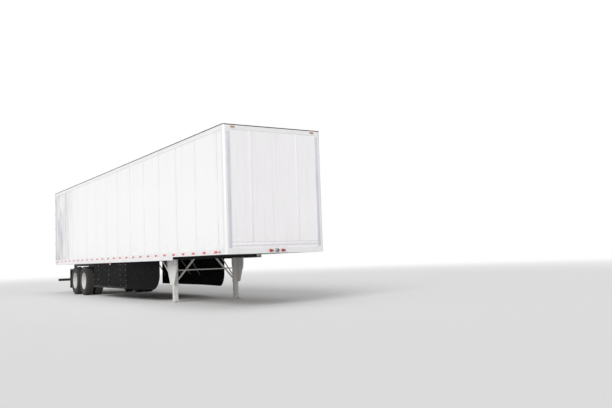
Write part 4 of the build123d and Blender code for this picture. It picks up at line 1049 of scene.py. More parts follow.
def eased(node: Piece, width: float) -> Piece:
    """A copy of a frame node with its sharp edges rounded.

    Args:
        node: The node's own object.
        width: The width of the rounding.

    Returns:
        The copy.
    """
    piece = placed("eased", node.data.copy())
    take_up(piece)
    bpy.ops.mesh.customdata_custom_splitnormals_clear()
    with shaping(piece):
        bpy.ops.mesh.select_all(action="SELECT")
        bpy.ops.mesh.remove_doubles(threshold=WELD)
        bpy.ops.mesh.dissolve_limited(angle_limit=0.02)
    softened(piece, width)
    return modified(piece, "WEIGHTED_NORMAL", keep_sharp=True)


def dressed(piece: Piece, finish: Finish) -> None:
    """Gives a piece one finish all over."""
    piece.data.materials.clear()
    piece.data.materials.append(finish.material())


@dataclass(frozen=True)
class Extent:
    """The lowest and highest corners of a frame node."""

    low: Vector
    high: Vector

    @classmethod
    def of(cls, node: str) -> Extent:
        """Reads a node's extent from the frame."""
        return cls(*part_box(node))

    @property
    def middle(self) -> Vector:
        """The extent's middle."""
        return (self.low + self.high) / 2


@dataclass
class Assembly:
    """What the sub-assemblies share: the frame, and the body that their pieces ride on."""

    frame: dict
    body: str = "root"

    def add(
        self, name: str, parts: Piece | Sequence[Piece], finish: Finish, *replaced: str, smooth: float = 0.6
    ) -> None:
        """Joins parts into one finished piece and hands it to the frame.

        Args:
            name: The piece's name.
            parts: One part or several.
            finish: The piece's finish.
            *replaced: Frame nodes that it stands for.
            smooth: Edges sharper than this, in radians, stay sharp; 0 leaves the shading alone.
        """
        piece = joined(parts)
        piece.name = piece.data.name = name
        if smooth:
            bpy.ops.object.shade_smooth_by_angle(angle=smooth)
        dressed(piece, finish)
        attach(piece, self.body)
        if replaced:
            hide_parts(*replaced)
        LOG.info("%s rides on %s, %d faces", name, self.body, len(piece.data.polygons))

    def add_pair(self, name: str, parts: Piece | Sequence[Piece], finish: Finish, *replaced: str) -> None:
        """Adds parts of the left side and their mirror image as one piece."""
        self.add(name, both_sides(parts), finish, *replaced)

    def cover(self, finish: Finish, ease: float, *nodes: str) -> None:
        """Gives frame nodes their finish.

        Args:
            finish: The nodes' finish.
            ease: The rounding of a copy that stands for each node, or 0 to keep the node itself.
            *nodes: The nodes' names.
        """
        for name in nodes:
            node = self.frame["nodes"][name]
            if ease:
                self.add(f"{name}_eased", eased(node, ease), finish, name, smooth=0)
            else:
                dressed(node, finish)
                LOG.info("%s keeps its form", name)


@dataclass
class Studio:
    """A plain pale floor, soft light and a camera at the photograph's viewing angle."""

    eye: Triple = (21.555, -7.821, 1.088)
    heading: float = 2.57166684
    rise: float = 0.0778914
    roll: float = -0.0353543
    focal_pixels: float = 681.8
    frame_pixels: float = 612.0
    sensor: float = 36.0
    floor_half: float = 120.0
    floor_tone: float = 0.8
    haze: Pair = (16.0, 60.0)
    sky: float = 0.55
    sun_strength: float = 1.9
    sun_spread: float = 0.6
    sun_from: Triple = (0.6, -0.72, 0.62)

    def build(self) -> None:
        """Sets the whole studio up."""
        bpy.context.scene.view_settings.view_transform = "Standard"
        self.aim_camera()
        self.lay_floor()
        self.light()

    def aim_camera(self) -> None:
        """Stands the camera where the photograph was taken from."""
        camera = placed("camera", bpy.data.cameras.new("camera"))
        camera.data.sensor_width = self.sensor
        camera.data.lens = self.focal_pixels / self.frame_pixels * self.sensor
        camera.data.clip_end = 4 * self.floor_half
        flat = Vector((math.cos(self.heading), math.sin(self.heading), 0))
        ahead = flat * math.cos(self.rise) + UP * math.sin(self.rise)
        right = ahead.cross(UP).normalized()
        top = right.cross(ahead)
        across = right * math.cos(self.roll) + top * math.sin(self.roll)
        above = top * math.cos(self.roll) - right * math.sin(self.roll)
        turn = Matrix((across, above, -ahead)).transposed().to_4x4()
        camera.matrix_world = Matrix.Translation(self.eye) @ turn
        bpy.context.scene.camera = camera

    def lay_floor(self) -> None:
        """Lays the floor, which whitens towards the horizon for the camera alone."""
        at_rest()
        bpy.ops.mesh.primitive_plane_add(size=2 * self.floor_half, location=ORIGIN)
        floor = settled()
        floor.name = floor.data.name = "floor"
        sheet = Sheet("studio_floor", (self.floor_tone,) * 3)
        sheet.set("Base Color", sheet.colour)
        sheet.set("Roughness", 0.9)
        sheet.set("Specular IOR Level", 0.1)
        white = sheet.node("ShaderNodeEmission", {"Color": WHITE, "Strength": 1}).outputs[0]
        far = sheet.node("ShaderNodeVectorMath", {0: sheet.place}, operation="LENGTH").outputs["Value"]
        seen = sheet.node("ShaderNodeLightPath").outputs["Is Camera Ray"]
        share = sheet.times(seen, sheet.mask(far, *self.haze))
        mix = sheet.node("ShaderNodeMixShader", {0: share, 1: sheet.shader.outputs[0], 2: white})
        feed(sheet.tree.nodes["Material Output"].inputs["Surface"], mix.outputs[0])
        floor.data.materials.append(sheet.material)

    def light(self) -> None:
        """Lights the trailer with a broad lamp and an even sky that the camera sees as white."""
        lamp = placed("key", bpy.data.lights.new("key", "SUN"))
        lamp.data.energy = self.sun_strength
        lamp.data.angle = self.sun_spread
        lamp.rotation_euler = Vector(self.sun_from).to_track_quat("Z", "Y").to_euler()
        world = bpy.data.worlds.new("sky")
        bpy.context.scene.world = world
        world.use_nodes = True
        tree = world.node_tree
        path = add_node(tree, "ShaderNodeLightPath").outputs
        seen = path["Is Camera Ray"]
        for ray in ("Is Glossy Ray", "Is Transmission Ray"):
            seen = add_node(tree, "ShaderNodeMath", {0: seen, 1: path[ray]}, operation="MAXIMUM").outputs[0]
        strength = add_node(tree, "ShaderNodeMapRange", {"Value": seen, "To Min": self.sky, "To Max": 1.0})
        backdrop = tree.nodes["Background"].inputs
        feed(backdrop["Color"], WHITE)
        feed(backdrop["Strength"], strength.outputs[0])


@dataclass
class VanBody(Assembly):
    """The box of the trailer: walls, rails, corner posts, nose, roof and floor."""

    first_seam: float = 0.34
    seam_pitch: float = 1.22
    seams: int = 13
    rivet_gap: float = 0.022
    rivet_pitch: float = 0.1
    rivet_rows: Triple = (0.018, 0.105, 0.018)
    tape_first: float = 0.5
    tape_pitch: float = 0.635
    tape_red: float = 0.18
    tape_silver: float = 0.28
    tape_h: float = 0.05
    tape_z: float = 1.268
    tape_t: float = 0.0005
    bead_r: float = 0.004
    bead_in: float = 0.006
    # The height and thickness of the dark strip that paints the shadow under the roof's edge.
    sealant_h: float = 0.018
    sealant_t: float = 0.0015
    low_rail_z: float = 1.21
    step_back: float = 1.0
    corner_r: float = 0.075
    cap_t: float = 0.0015
    cap_h: float = 0.13
    cap_leg: float = 0.085
    # Room left under the roof for the dark strip of painted roof-edge shadow.
    seal_room: float = 0.024
    band_y: Pair = (1.128, 1.206)
    band_t: float = 0.001
    scuff_h: float = 0.3
    scuff_t: float = 0.002
    post_face: float = 1.2705
    strip_h: float = 0.055
    strip_t: float = 0.004
    joint_y: float = 0.61
    joint_t: float = 0.003

    def build(self) -> None:
        """Dresses the box and models what is fastened to it."""
        self.wall = Extent.of("side_wall_right")
        self.front = Extent.of("front_wall")
        self.rail = Extent.of("bottom_rails")
        self.top_rail = Extent.of("top_rails")
        self.nose_x = Extent.of("front_corner_posts").high.x
        self.tail_x = Extent.of("rear_sill").low.x
        self.start_x = Extent.of("rear_sill").high.x
        self.side_y = self.rail.high.y
        self.cover(SKIN, 0, "side_wall_left", "side_wall_right")
        self.cover(RAIL, 0.0015, "bottom_rails", "top_rails")
        self.cover(CORNER, 0.0015, "front_corner_posts", "front_rails")
        self.cover(FRONT, 0, "front_wall")
        self.cover(ROOF, 0, "roof_sheet", "roof_bows")
        self.cover(WOOD, 0.0015, "floor_boards")
        self.cover(CHASSIS, 0.0012, "cross_members")
        for side in Side:
            self.rivet_side(side)
            self.tape_side(side)
            self.rib_rails(side)
        self.seal_roof()
        self.dress_nose()
        self.cap_corners()
        self.band_nose()
        self.line_inside()

    def rivets(self, way: Vector, start: Triple, along: Vector, count: int) -> Piece:
        """A line of rivets that stand along way, a pitch apart."""
        return row(moved(rivet(way), start), along * self.rivet_pitch, count)

    def rivet_side(self, side: Side) -> None:
        """Rivets one side: two columns at each seam, and rows along both rails.

        Args:
            side: The side to rivet.
        """
        foot = self.rail.high.z + 0.04
        tall = int((self.top_rail.low.z - 0.03 - foot) / self.rivet_pitch) + 1
        last_x = self.nose_x - self.first_seam - (self.seams - 1) * self.seam_pitch - self.rivet_gap
        columns = self.rivets(side.out, (last_x, side.value * abs(self.wall.low.y), foot), UP, tall)
        row(columns, (2 * self.rivet_gap, 0, 0), 2)
        row(columns, (self.seam_pitch, 0, 0), self.seams)
        start = self.start_x + self.rivet_pitch / 2
        long = int((self.nose_x - 0.12 - start) / self.rivet_pitch) + 1
        below, lower, above = self.rivet_rows
        heights = (self.rail.high.z - below, self.rail.high.z - lower, self.top_rail.low.z + above)
        rows = [self.rivets(side.out, (start, side.value * self.side_y, z), FORWARD, long) for z in heights]
        self.add(f"side_rivets_{side.word}", [columns, *rows], RAIL)

    def tape_side(self, side: Side) -> None:
        """Lays the red and silver tape along one bottom rail.

        Args:
            side: The side to tape.
        """
        last = self.tail_x + 0.15
        patches = int((self.nose_x - self.tape_first - last) / self.tape_pitch) + 1
        face = side.value * (self.side_y + self.tape_t / 2)
        for finish, length, shift in ((TAPE_RED, self.tape_red, 0), (TAPE_SILVER, self.tape_silver, 0.5)):
            middle = Vector((self.nose_x - self.tape_first - shift * self.tape_pitch, face, self.tape_z))
            strip = box_at(middle, (length / 2, self.tape_t / 2, self.tape_h / 2), self.tape_t / 3)
            row(strip, (-self.tape_pitch, 0, 0), patches)
            self.add(f"{finish.slot.value}_{side.word}", strip, finish)

    def rib_rails(self, side: Side) -> None:
        """Runs the extruded beads along the edges of both side rails.

        Args:
            side: The side whose rails get their beads.
        """
        y = side.value * self.side_y
        nose = self.nose_x - self.corner_r - 0.03
        step_x = Extent.of("coupler_plate").low.x - self.step_back
        inset = self.bead_in
        levels = (self.rail.high.z - inset, self.top_rail.low.z + inset, self.top_rail.high.z - 0.03)
        runs = [(z, self.start_x, nose) for z in levels]
        runs += [(self.rail.low.z + inset, self.start_x, step_x), (self.low_rail_z + inset, step_x, nose)]
        beads = [bar(self.bead_r, (start, y, z), (end, y, z), 10) for z, start, end in runs]
        self.add(f"rail_ribs_{side.word}", beads, RAIL)

    def seal_roof(self) -> None:
        """Runs a dark rubber strip under the roof's edge, along the top rails and the nose, as painted shadow
        of the roof's edge.
        """
        top = Extent.of("roof_sheet").low.z
        low = top - self.sealant_h
        back = Extent.of("rear_header").low.x
        half, nose = self.side_y - 0.001, self.nose_x - 0.001
        bend = Vector((self.nose_x - self.corner_r, half - self.corner_r, low))
        outer = arc(bend, self.corner_r + self.sealant_t, (0, QUARTER), FORWARD, OUTWARD)
        inner = arc(bend, self.corner_r, (QUARTER, 0), FORWARD, OUTWARD)
        parts = [
            plate([*outer, *inner], (0, 0, self.sealant_h)),
            block((back, half, low), (bend.x, half + self.sealant_t, top)),
            block((nose, 0, low), (nose + self.sealant_t, bend.y, top)),
        ]
        self.add_pair("roof_sealant", parts, RUBBER)

    def dress_nose(self) -> None:
        """Puts a rub strip, two joint strips and rivets on the front wall."""
        face, half, head = self.front.high.x, self.front.high.y, self.front.high.z
        foot = self.front.low.z + 0.075
        top = foot + self.strip_h
        parts = [block((face, -half + 0.004, foot), (face + self.strip_t, half - 0.004, top), 0.0012)]
        parts += [
            block((face, y - 0.03, top + 0.02), (face + self.joint_t, y + 0.03, head - 0.004), 0.001)
            for y in (-self.joint_y, self.joint_y)
        ]
        self.add("front_wall_strips", parts, FRONT)
        across = int((2 * half - 0.1) / self.rivet_pitch) + 1
        levels = ((foot + self.strip_h / 2, self.strip_t), (head - 0.03, 0), (self.front.low.z + 0.03, 0))
        lines = [
            self.rivets(FORWARD, (face + proud, -half + 0.05, z), OUTWARD, across) for z, proud in levels
        ]
        for side in Side:
            for y in (self.joint_y - self.rivet_gap, self.joint_y + self.rivet_gap):
                start = (face + self.joint_t, side.value * y, foot + 0.12)
                lines.append(self.rivets(FORWARD, start, UP, 24))
            start = (self.nose_x, side.value * (self.band_y[1] + 0.008), self.rail.high.z)
            lines.append(self.rivets(FORWARD, start, UP, 26))
        self.add("front_wall_rivets", lines, FRONT)

    def cap_corners(self) -> None:
        """Wraps a cast cap round each corner of the nose, at its foot and at its head."""
        bend = (self.nose_x - self.corner_r, self.side_y - self.corner_r, 0)
        outer = arc(bend, self.corner_r + self.cap_t, (0, QUARTER), FORWARD, OUTWARD)
        inner = arc(bend, self.corner_r, (QUARTER, 0), FORWARD, OUTWARD)
        back, aside = FORWARD * self.cap_leg, OUTWARD * self.cap_leg
        section = [outer[0] - aside, *outer, outer[-1] - back, inner[0] - back, *inner, inner[-1] - aside]
        post = Extent.of("front_corner_posts")
        self.between_caps = (post.low.z + self.cap_h, post.high.z - self.cap_h - self.seal_room)
        lows = (post.low.z, self.between_caps[1])
        caps = [plate([point + UP * low for point in section], (0, 0, self.cap_h)) for low in lows]
        self.add_pair("corner_caps", caps, CORNER)

    def band_nose(self) -> None:
        """Stands a grey ribbed band between each corner's caps, and beads the foot of the wall."""
        foot, head = self.between_caps[0] + 0.01, self.between_caps[1] - 0.01
        inner, outer = self.band_y
        crest = self.nose_x + 0.0008
        parts = [block((self.nose_x, inner, foot), (self.nose_x + self.band_t, outer, head), self.band_t / 3)]
        for y in (inner + 0.004, (inner + outer) / 2, outer - 0.004):
            parts.append(bar(0.0032, (crest, y, foot), (crest, y, head), 8))
        face, half = self.front.high.x, self.front.high.y
        for z in (self.front.low.z + 0.06, self.front.low.z + 0.145):
            parts.append(bar(0.0045, (face, 0, z), (face, half - 0.004, z), 8))
        self.add_pair("nose_bands", parts, BAND)

    def line_inside(self) -> None:
        """Lines the foot of both walls with a steel band against forklifts."""
        back, front = self.start_x + 0.02, self.front.low.x - 0.01
        foot = Extent.of("floor_boards").high.z + 0.006
        head = foot + self.scuff_h
        lip_y = self.post_face - 0.003
        band = block((back, self.post_face - self.scuff_t, foot), (front, self.post_face, head), 0.0006)
        lip = bar(0.004, (back, lip_y, head), (front, lip_y, head), 8)
        self.add_pair("scuff_bands", [band, lip], ZINC)


@dataclass
class RearFrame(Assembly):
    """The frame round the rear doors, with its guard, bumpers, gutter and tape."""

    tape_t: float = 0.0005
    tape_h: float = 0.05
    tape_lift: float = 0.025
    guard_patch: float = 0.2
    guard_bar: float = 0.1
    uprights: Pair = (0.45, 0.55)
    bumper_w: float = 0.11
    bolt_drop: float = 0.012
    bolt_h: float = 0.006
    bolt_lift: float = 0.032
    well_r: float = 0.021
    gutter_z: float = 4.082
    weld_r: float = 0.005

    def build(self) -> None:
        """Dresses the frame and models what is fastened to it."""
        self.cover(STAINLESS, 0.003, "rear_posts", "rear_header", "rear_sill")
        self.cover(CHASSIS, 0.004, "underride_guard")
        self.cover(ZINC, 0.0015, "door_hinge_pins", "door_lock_keepers")
        self.guard = Extent.of("underride_guard")
        self.tape_guard()
        self.weld_guard()
        self.fit_bumpers()
        self.fit_gutter()

    def tape_guard(self) -> None:
        """Tapes the guard's bar red and silver from end to end."""
        face, foot = self.guard.low.x, self.guard.low.z + self.tape_lift
        count = int(self.guard.high.y / self.guard_patch)
        for finish, shift in ((TAPE_RED, 0), (TAPE_SILVER, 1)):
            start = (shift - count) * self.guard_patch
            end = (face, start + self.guard_patch, foot + self.tape_h)
            strip = block((face - self.tape_t, start, foot), end, self.tape_t / 3)
            row(strip, (0, 2 * self.guard_patch, 0), count)
            self.add(f"{finish.slot.value}_guard", strip, finish)

    def weld_guard(self) -> None:
        """Lays the weld beads where the guard's two uprights stand on its bar."""
        top = self.guard.low.z + self.guard_bar
        near, far = self.guard.low.x, self.guard.low.x + self.guard_bar
        runs = [((near, y), (far, y)) for y in self.uprights]
        runs.append(tuple((far, y) for y in self.uprights))
        beads = [bar(self.weld_r, (*start, top), (*end, top), 8) for start, end in runs]
        self.add_pair("guard_welds", beads, CHASSIS)

    def fit_bumpers(self) -> None:
        """Moulds the two rubber bumpers, each with two wells that hold its bolts below the face."""
        bumper = Extent.of("dock_bumpers")
        blocks, seats = [], []
        for side in Side:
            inner, outer = side.value * (bumper.high.y - self.bumper_w), side.value * bumper.high.y
            rubber = block((bumper.low.x, inner, bumper.low.z), (bumper.high.x, outer, bumper.high.z), 0.01)
            wells = []
            for lift in (-self.bolt_lift, self.bolt_lift):
                mouth = Vector((bumper.low.x, (inner + outer) / 2, bumper.middle.z + lift))
                seats.append(mouth + FORWARD * self.bolt_drop)
                wells.append(bar(self.well_r, mouth - FORWARD * 0.01, seats[-1]))
            blocks.append(softened(cut(rubber, wells), 0.0015, sharp=1.2))
        self.add("bumpers", blocks, RUBBER, "dock_bumpers")
        self.add("bumper_bolts", scattered(hex_bolt(-FORWARD, height=self.bolt_h), seats), ZINC)

    def fit_gutter(self) -> None:
        """Bends a rain gutter along the top of the header."""
        header = Extent.of("rear_header")
        face, half, z = header.low.x, header.high.y - 0.012, self.gutter_z
        section = [(0, 0), (-0.016, 0), (-0.016, 0.01), (-0.0145, 0.01), (-0.0145, 0.002), (0, 0.002)]
        points = [(face + x, -half, z + rise) for x, rise in section]
        self.add("rear_gutter", plate(points, (0, 2 * half, 0)), STAINLESS)


@dataclass
class RearDoor(Assembly):
    """One swing door with its hinges, lock rod, seal and fastenings."""

    side: Side = Side.LEFT
    hinge_heights: tuple[float, ...] = (1.45, 2.04, 2.63, 3.22, 3.81)
    hinge_bolts: tuple[float, ...] = (0.075, 0.15, 0.225)
    guide_heights: tuple[float, ...] = (1.41, 1.91, 2.9375, 3.865)
    seal_in: float = 0.003
    seal_w: float = 0.014
    seal_t: float = 0.0035
    rim: float = 0.04
    rivet_pitch: float = 0.1
    rod_r: float = 0.0135
    rod_off: float = 0.022
    guide_w: float = 0.043
    guide_h: float = 0.05
    plate_t: float = 0.004
    cam: float = 0.03
    cam_w: float = 0.023
    handle_z: float = 1.65
    handle_h: float = 0.032
    handle_t: float = 0.01
    handle_end: float = 0.67
    handle_ribs: int = 7
    catch_y: float = 0.645
    catch: Pair = (0.05, 0.07)
    tape: Triple = (0.3, 0.05, 0.0005)
    foot_patch: float = 0.21

    def build(self) -> None:
        """Dresses the door and models what rides on it."""
        word, self.sign = self.side.word, self.side.value
        self.body = f"rear_door_{word}"
        self.door = Extent.of(f"door_{word}")
        self.face = self.door.low.x
        self.rod = Extent.of(f"door_{word}_lock_rod")
        self.rod_x = self.face - self.rod_off
        self.rod_y = self.sign * (min(abs(self.rod.low.y), abs(self.rod.high.y)) + self.guide_w / 2)
        self.edge = max(abs(self.door.low.y), abs(self.door.high.y))
        self.cover(DOOR, 0.002, f"door_{word}")
        self.cover(ZINC, 0.0012, f"door_{word}_hinges")
        self.fit_seal()
        self.fit_lock()
        self.fit_bolts()
        self.rivet_rim()
        self.lay_tape()

    def fit_seal(self) -> None:
        """Presses a rubber seal into the door's rim, a little inside its edge."""
        inset, width = self.seal_in, self.seal_w
        low_y, high_y = self.door.low.y + inset, self.door.high.y - inset
        low_z, high_z = self.door.low.z + inset, self.door.high.z - inset
        runs = [((y, low_z), (y + width, high_z)) for y in (low_y, high_y - width)]
        runs += [((low_y, z), (high_y, z + width)) for z in (low_z, high_z - width)]
        strips = [block((self.face - self.seal_t, *start), (self.face, *end), 0.0015) for start, end in runs]
        self.add(f"door_seal_{self.side.word}", strips, RUBBER)

    def fit_lock(self) -> None:
        """Models the lock rod with its cams and guides, and the handle in its catch."""
        low, high = ((self.rod_x, self.rod_y, z) for z in (self.rod.low.z, self.rod.high.z))
        parts = [bar(self.rod_r, low, high, 20), *self.cam_end(low, self.cam), *self.cam_end(high, -self.cam)]
        for z in self.guide_heights:
            parts += self.guide(z)
        parts += self.handle()
        self.add(f"lock_{self.side.word}", parts, ZINC, f"door_{self.side.word}_lock_rod")

    def cam_end(self, end: Triple, tall: float) -> list[Piece]:
        """The hub and the hooked cam on one end of the lock rod.

        Args:
            end: The rod's end.
            tall: The cam's height, below 0 where it hangs.

        Returns:
            The hub and the cam.
        """
        x, y, z = end
        half = self.cam / 2
        hub = bar(self.rod_r + 0.0015, end, (x, y, z + tall), 20)
        profile = [(half, 0), (half - 0.002, tall * 0.8), (0, tall), (-half + 0.002, tall)]
        profile += [(-half + 0.002, tall * 0.55), (-0.004, tall * 0.3), (-0.004, 0)]
        points = [(x + dx, y - self.cam_w / 2, z + dz) for dx, dz in profile]
        return [hub, plate(points, (0, self.cam_w, 0), 0.0015)]

    def guide(self, z: float) -> list[Piece]:
        """One guide of the rod: its plate, its saddle and its two bolts.

        Args:
            z: The guide's height.

        Returns:
            The guide's pieces.
        """
        y, radius, foot = self.rod_y, self.rod_r + 0.004, z - 0.013
        base = box_at(Vector((self.face, y, z)), (self.plate_t, self.guide_w / 2, self.guide_h / 2), 0.001)
        saddle = arc((self.rod_x, y, foot), radius, (-QUARTER, QUARTER), -FORWARD, OUTWARD, 14)
        saddle += [(self.face, y + radius, foot), (self.face, y - radius, foot)]
        bolts = [
            moved(hex_bolt(-FORWARD, 0.0048, 0.005), (self.face - self.plate_t, y, z + lift))
            for lift in (-0.0185, 0.0185)
        ]
        return [base, plate(saddle, (0, 0, 0.026), 0.001), *bolts]

    def handle(self) -> list[Piece]:
        """The handle's clamp, its bent flat bar with a ribbed end, and its catch.

        Returns:
            The handle's and the catch's pieces.
        """
        sign, x, y, z = self.sign, self.rod_x, self.rod_y, self.handle_z
        outer = x - self.handle_t / 2 - 0.0065
        foot, head = z - self.handle_h / 2, z + self.handle_h / 2
        end = sign * self.handle_end
        grip = [(y, foot), (y + sign * 0.1, foot), (y + sign * 0.16, foot + 0.004), (end, foot + 0.004)]
        grip += [(end, head - 0.006), (end - sign * 0.02, head), (y, head)]
        parts = [
            plate([(outer, *point) for point in grip], (self.handle_t, 0, 0), 0.003),
            bar(self.rod_r + 0.006, (x, y, z - 0.028), (x, y, z + 0.028), 20),
            moved(hex_bolt(-FORWARD, 0.008, 0.0035), (outer, y + sign * 0.03, z)),
        ]
        for k in range(self.handle_ribs):
            rib_y = end - sign * (0.03 + 0.012 * k)
            parts.append(bar(0.0022, (outer, rib_y, foot + 0.006), (outer, rib_y, head - 0.003), 6))
        return parts + self.handle_catch(outer, foot)

    def handle_catch(self, outer: float, foot: float) -> list[Piece]:
        """The catch: its plate with two bolts, its shelf, its ear and its tongue.

        Args:
            outer: The handle's outer face.
            foot: The handle's underside.

        Returns:
            The catch's pieces.
        """
        face, y, z = self.face, self.sign * self.catch_y, self.handle_z
        wide, high = (size / 2 for size in self.catch)
        inner, near = outer + self.handle_t, outer - 0.003
        under, top = foot - 0.007, foot - 0.001
        bolts = [
            moved(hex_bolt(-FORWARD, 0.005, 0.005), (face - self.plate_t, y + dy, z + 0.027))
            for dy in (-0.015, 0.015)
        ]
        return [
            box_at(Vector((face, y, z)), (self.plate_t, wide, high), 0.001),
            block((inner - 0.004, y - wide + 0.006, under), (face, y + wide - 0.006, top), 0.0015),
            block((near, y - 0.01, under), (inner, y + 0.01, top), 0.001),
            block((near, y - 0.008, under), (outer, y + 0.008, z + 0.004), 0.001),
            *bolts,
        ]

    def fit_bolts(self) -> None:
        """Bolts the hinge straps to the door."""
        places = [
            (self.face - 0.008, self.sign * (self.edge - reach), z)
            for z in self.hinge_heights
            for reach in self.hinge_bolts
        ]
        self.add(f"strap_bolts_{self.side.word}", scattered(hex_bolt(-FORWARD, 0.009, 0.007), places), ZINC)

    def rivet_run(self, y: float, z: float, run: Vector) -> Piece:
        """A row of small rivets on the door's skin, from one place along a run."""
        steps = int(run.length / self.rivet_pitch)
        return row(moved(rivet(-FORWARD, 0.0045, 0.0018), (self.face, y, z)), run / steps, steps + 1)

    def rivet_rim(self) -> None:
        """Rivets the door's skin along its rim."""
        inset = self.rim - 0.01
        low_y, high_y = self.door.low.y + inset, self.door.high.y - inset
        low_z, high_z = self.door.low.z + inset, self.door.high.z - inset
        lines = [self.rivet_run(y, low_z, UP * (high_z - low_z)) for y in (low_y, high_y)]
        lines += [self.rivet_run(low_y, z, OUTWARD * (high_y - low_y)) for z in (low_z, high_z)]
        self.add(f"door_rivets_{self.side.word}", lines, DOOR)

    def lay_tape(self) -> None:
        """Tapes the door's foot and its upper outer corner."""
        long, wide, thick = self.tape
        sign, face = self.sign, self.face + 0.004
        edge = self.edge - self.rim - 0.005
        foot = self.door.low.z + self.rim + 0.02
        top = self.door.high.z - self.rim - 0.005
        patches = {TAPE_RED: [(start, foot) for start in (0.3, 0.72)]}
        patches[TAPE_SILVER] = [(start, foot) for start in (0.09, 0.51, 0.93)]
        for finish, starts in patches.items():
            runs = [((y, z), (y + self.foot_patch, z + wide)) for y, z in starts]
            if finish is TAPE_SILVER:
                runs.append(((edge, top - wide), (edge - long, top)))
                runs.append(((edge, top - wide - long), (edge - wide, top - wide - 0.002)))
            strips = [
                block((face - thick, sign * y0, z0), (face, sign * y1, z1), thick / 4)
                for (y0, z0), (y1, z1) in runs
            ]
            self.add(f"{finish.slot.value}_door_{self.side.word}", strips, finish)


@dataclass
class LandingGear(Assembly):
    """The two legs, their side plates and braces, and the crank."""

    leg_y: float = 0.9
    tube: float = 0.127
    tube_wall: float = 0.0045
    wing_top: Pair = (0.35, 0.95)
    wing_foot: Pair = (0.12, 0.48)
    wing_bolts: tuple[float, ...] = (-0.25, -0.09, 0.09, 0.25)
    flange: Pair = (0.022, 0.006)
    box_half: float = 0.095
    box_out: float = 0.11
    box_z: float = 0.86
    box_high: float = 0.105
    cover_in: float = 0.018
    cover_t: float = 0.004
    grip_r: float = 0.011
    grip_y: Pair = (1.1675, 1.2785)
    grip_ribs: int = 14

    def build(self) -> None:
        """Dresses the legs and models their flanges, covers, bolts and grip."""
        self.cover(LEG, 0.003, "leg_tubes", "leg_shoes", "leg_side_plates", "leg_braces", "leg_crank")
        self.wing = Extent.of("leg_side_plates")
        self.leg_x = self.wing.middle.x
        self.tubes = Extent.of("leg_tubes")
        self.edge_wings()
        self.bolt_wings()
        self.cover_box()
        self.collar_legs()
        self.wrap_grip()

    def edge_wings(self) -> None:
        """Turns a flange out along the sloping and upright edges of each side plate."""
        deep, thick = self.flange
        corners = [(self.wing_top[0], self.tubes.high.z), self.wing_top, self.wing_foot]
        parts = []
        for sign in (-1, 1):
            for (a, high), (b, low) in zip(corners, corners[1:]):
                points = [(a, high), (b, low), (b - thick, low), (a - thick, high)]
                place = [(self.leg_x + sign * x, self.wing.high.y, z) for x, z in points]
                parts.append(plate(place, (0, deep, 0), 0.0015))
        self.add_pair("leg_flanges", parts, LEG)

    def bolt_wings(self) -> None:
        """Bolts each side plate to its leg and to the frame above."""
        places = [
            (self.leg_x + dx, self.wing.high.y, self.tubes.high.z - drop)
            for dx in self.wing_bolts
            for drop in (0.05, 0.13)
        ]
        self.add_pair("leg_bolts", scattered(hex_bolt(OUTWARD), places), ZINC)

    def cover_box(self) -> None:
        """Bolts a raised cover, with its shaft boss, on the gearbox of the left leg."""
        face = self.wing.high.y + self.box_out
        wide, tall = self.box_half - self.cover_in, self.box_high - self.cover_in
        cover = box_at(Vector((self.leg_x, face, self.box_z)), (wide, self.cover_t, tall), 0.0025)
        profile = [(0, 0), (0, 0.032), (0.007, 0.032), (0.014, 0.02), (0.018, 0.0185), (0.018, 0)]
        shaft = (self.leg_x, face + 0.003, Extent.of("leg_crank").high.z - 0.012)
        places = [
            (self.leg_x + dx, face + self.cover_t, self.box_z + dz)
            for dx in (-wide + 0.01, wide - 0.01)
            for dz in (-tall + 0.01, 0, tall - 0.01)
        ]
        bolts = scattered(hex_bolt(OUTWARD, 0.0065, 0.006), places)
        self.add("gearbox_cover", [cover, lathe(profile, shaft, OUTWARD, 32), bolts], LEG)

    def collar_legs(self) -> None:
        """Puts a grease collar round the mouth of each outer tube, and a nipple on it."""
        half = self.tube / 2
        mouth = Vector((self.leg_x, self.leg_y, self.tubes.low.z))
        collar = box_at(mouth + UP * 0.01, (half + 0.004, half + 0.004, 0.012), 0.003)
        cut(collar, [box_at(mouth, (half - self.tube_wall, half - self.tube_wall, 0.1))])
        seat = mouth + FORWARD * half + UP * 0.05
        nipple = bar(0.005, seat, seat + FORWARD * 0.012, 10, 0.0035)
        self.add_pair("leg_collars", [collar, nipple], LEG)

    def wrap_grip(self) -> None:
        """Slides a ribbed plastic sleeve over the crank's grip."""
        start, end = self.grip_y
        long, bore = end - start, self.grip_r + 0.0002
        step = long / self.grip_ribs
        profile = [(0, bore)]
        for k in range(self.grip_ribs):
            profile += [(step * (k + 0.15), 0.015), (step * (k + 0.6), 0.015), (step * (k + 0.75), 0.0138)]
        profile += [(long, 0.0142), (long, bore)]
        self.add("crank_sleeve", lathe(profile, self.grip_centre(start), OUTWARD, 24), RUBBER)

    def grip_centre(self, start: float) -> Vector:
        """The inner end of the grip's middle line, read from the crank's mesh.

        Args:
            start: How far out the grip begins.

        Returns:
            The point.
        """
        crank = self.frame["nodes"]["leg_crank"].data
        tips = [vertex.co for vertex in crank.vertices if vertex.co.y > start]
        x, z = ((min(tip[k] for tip in tips) + max(tip[k] for tip in tips)) / 2 for k in (0, 2))
        return Vector((x, start, z))


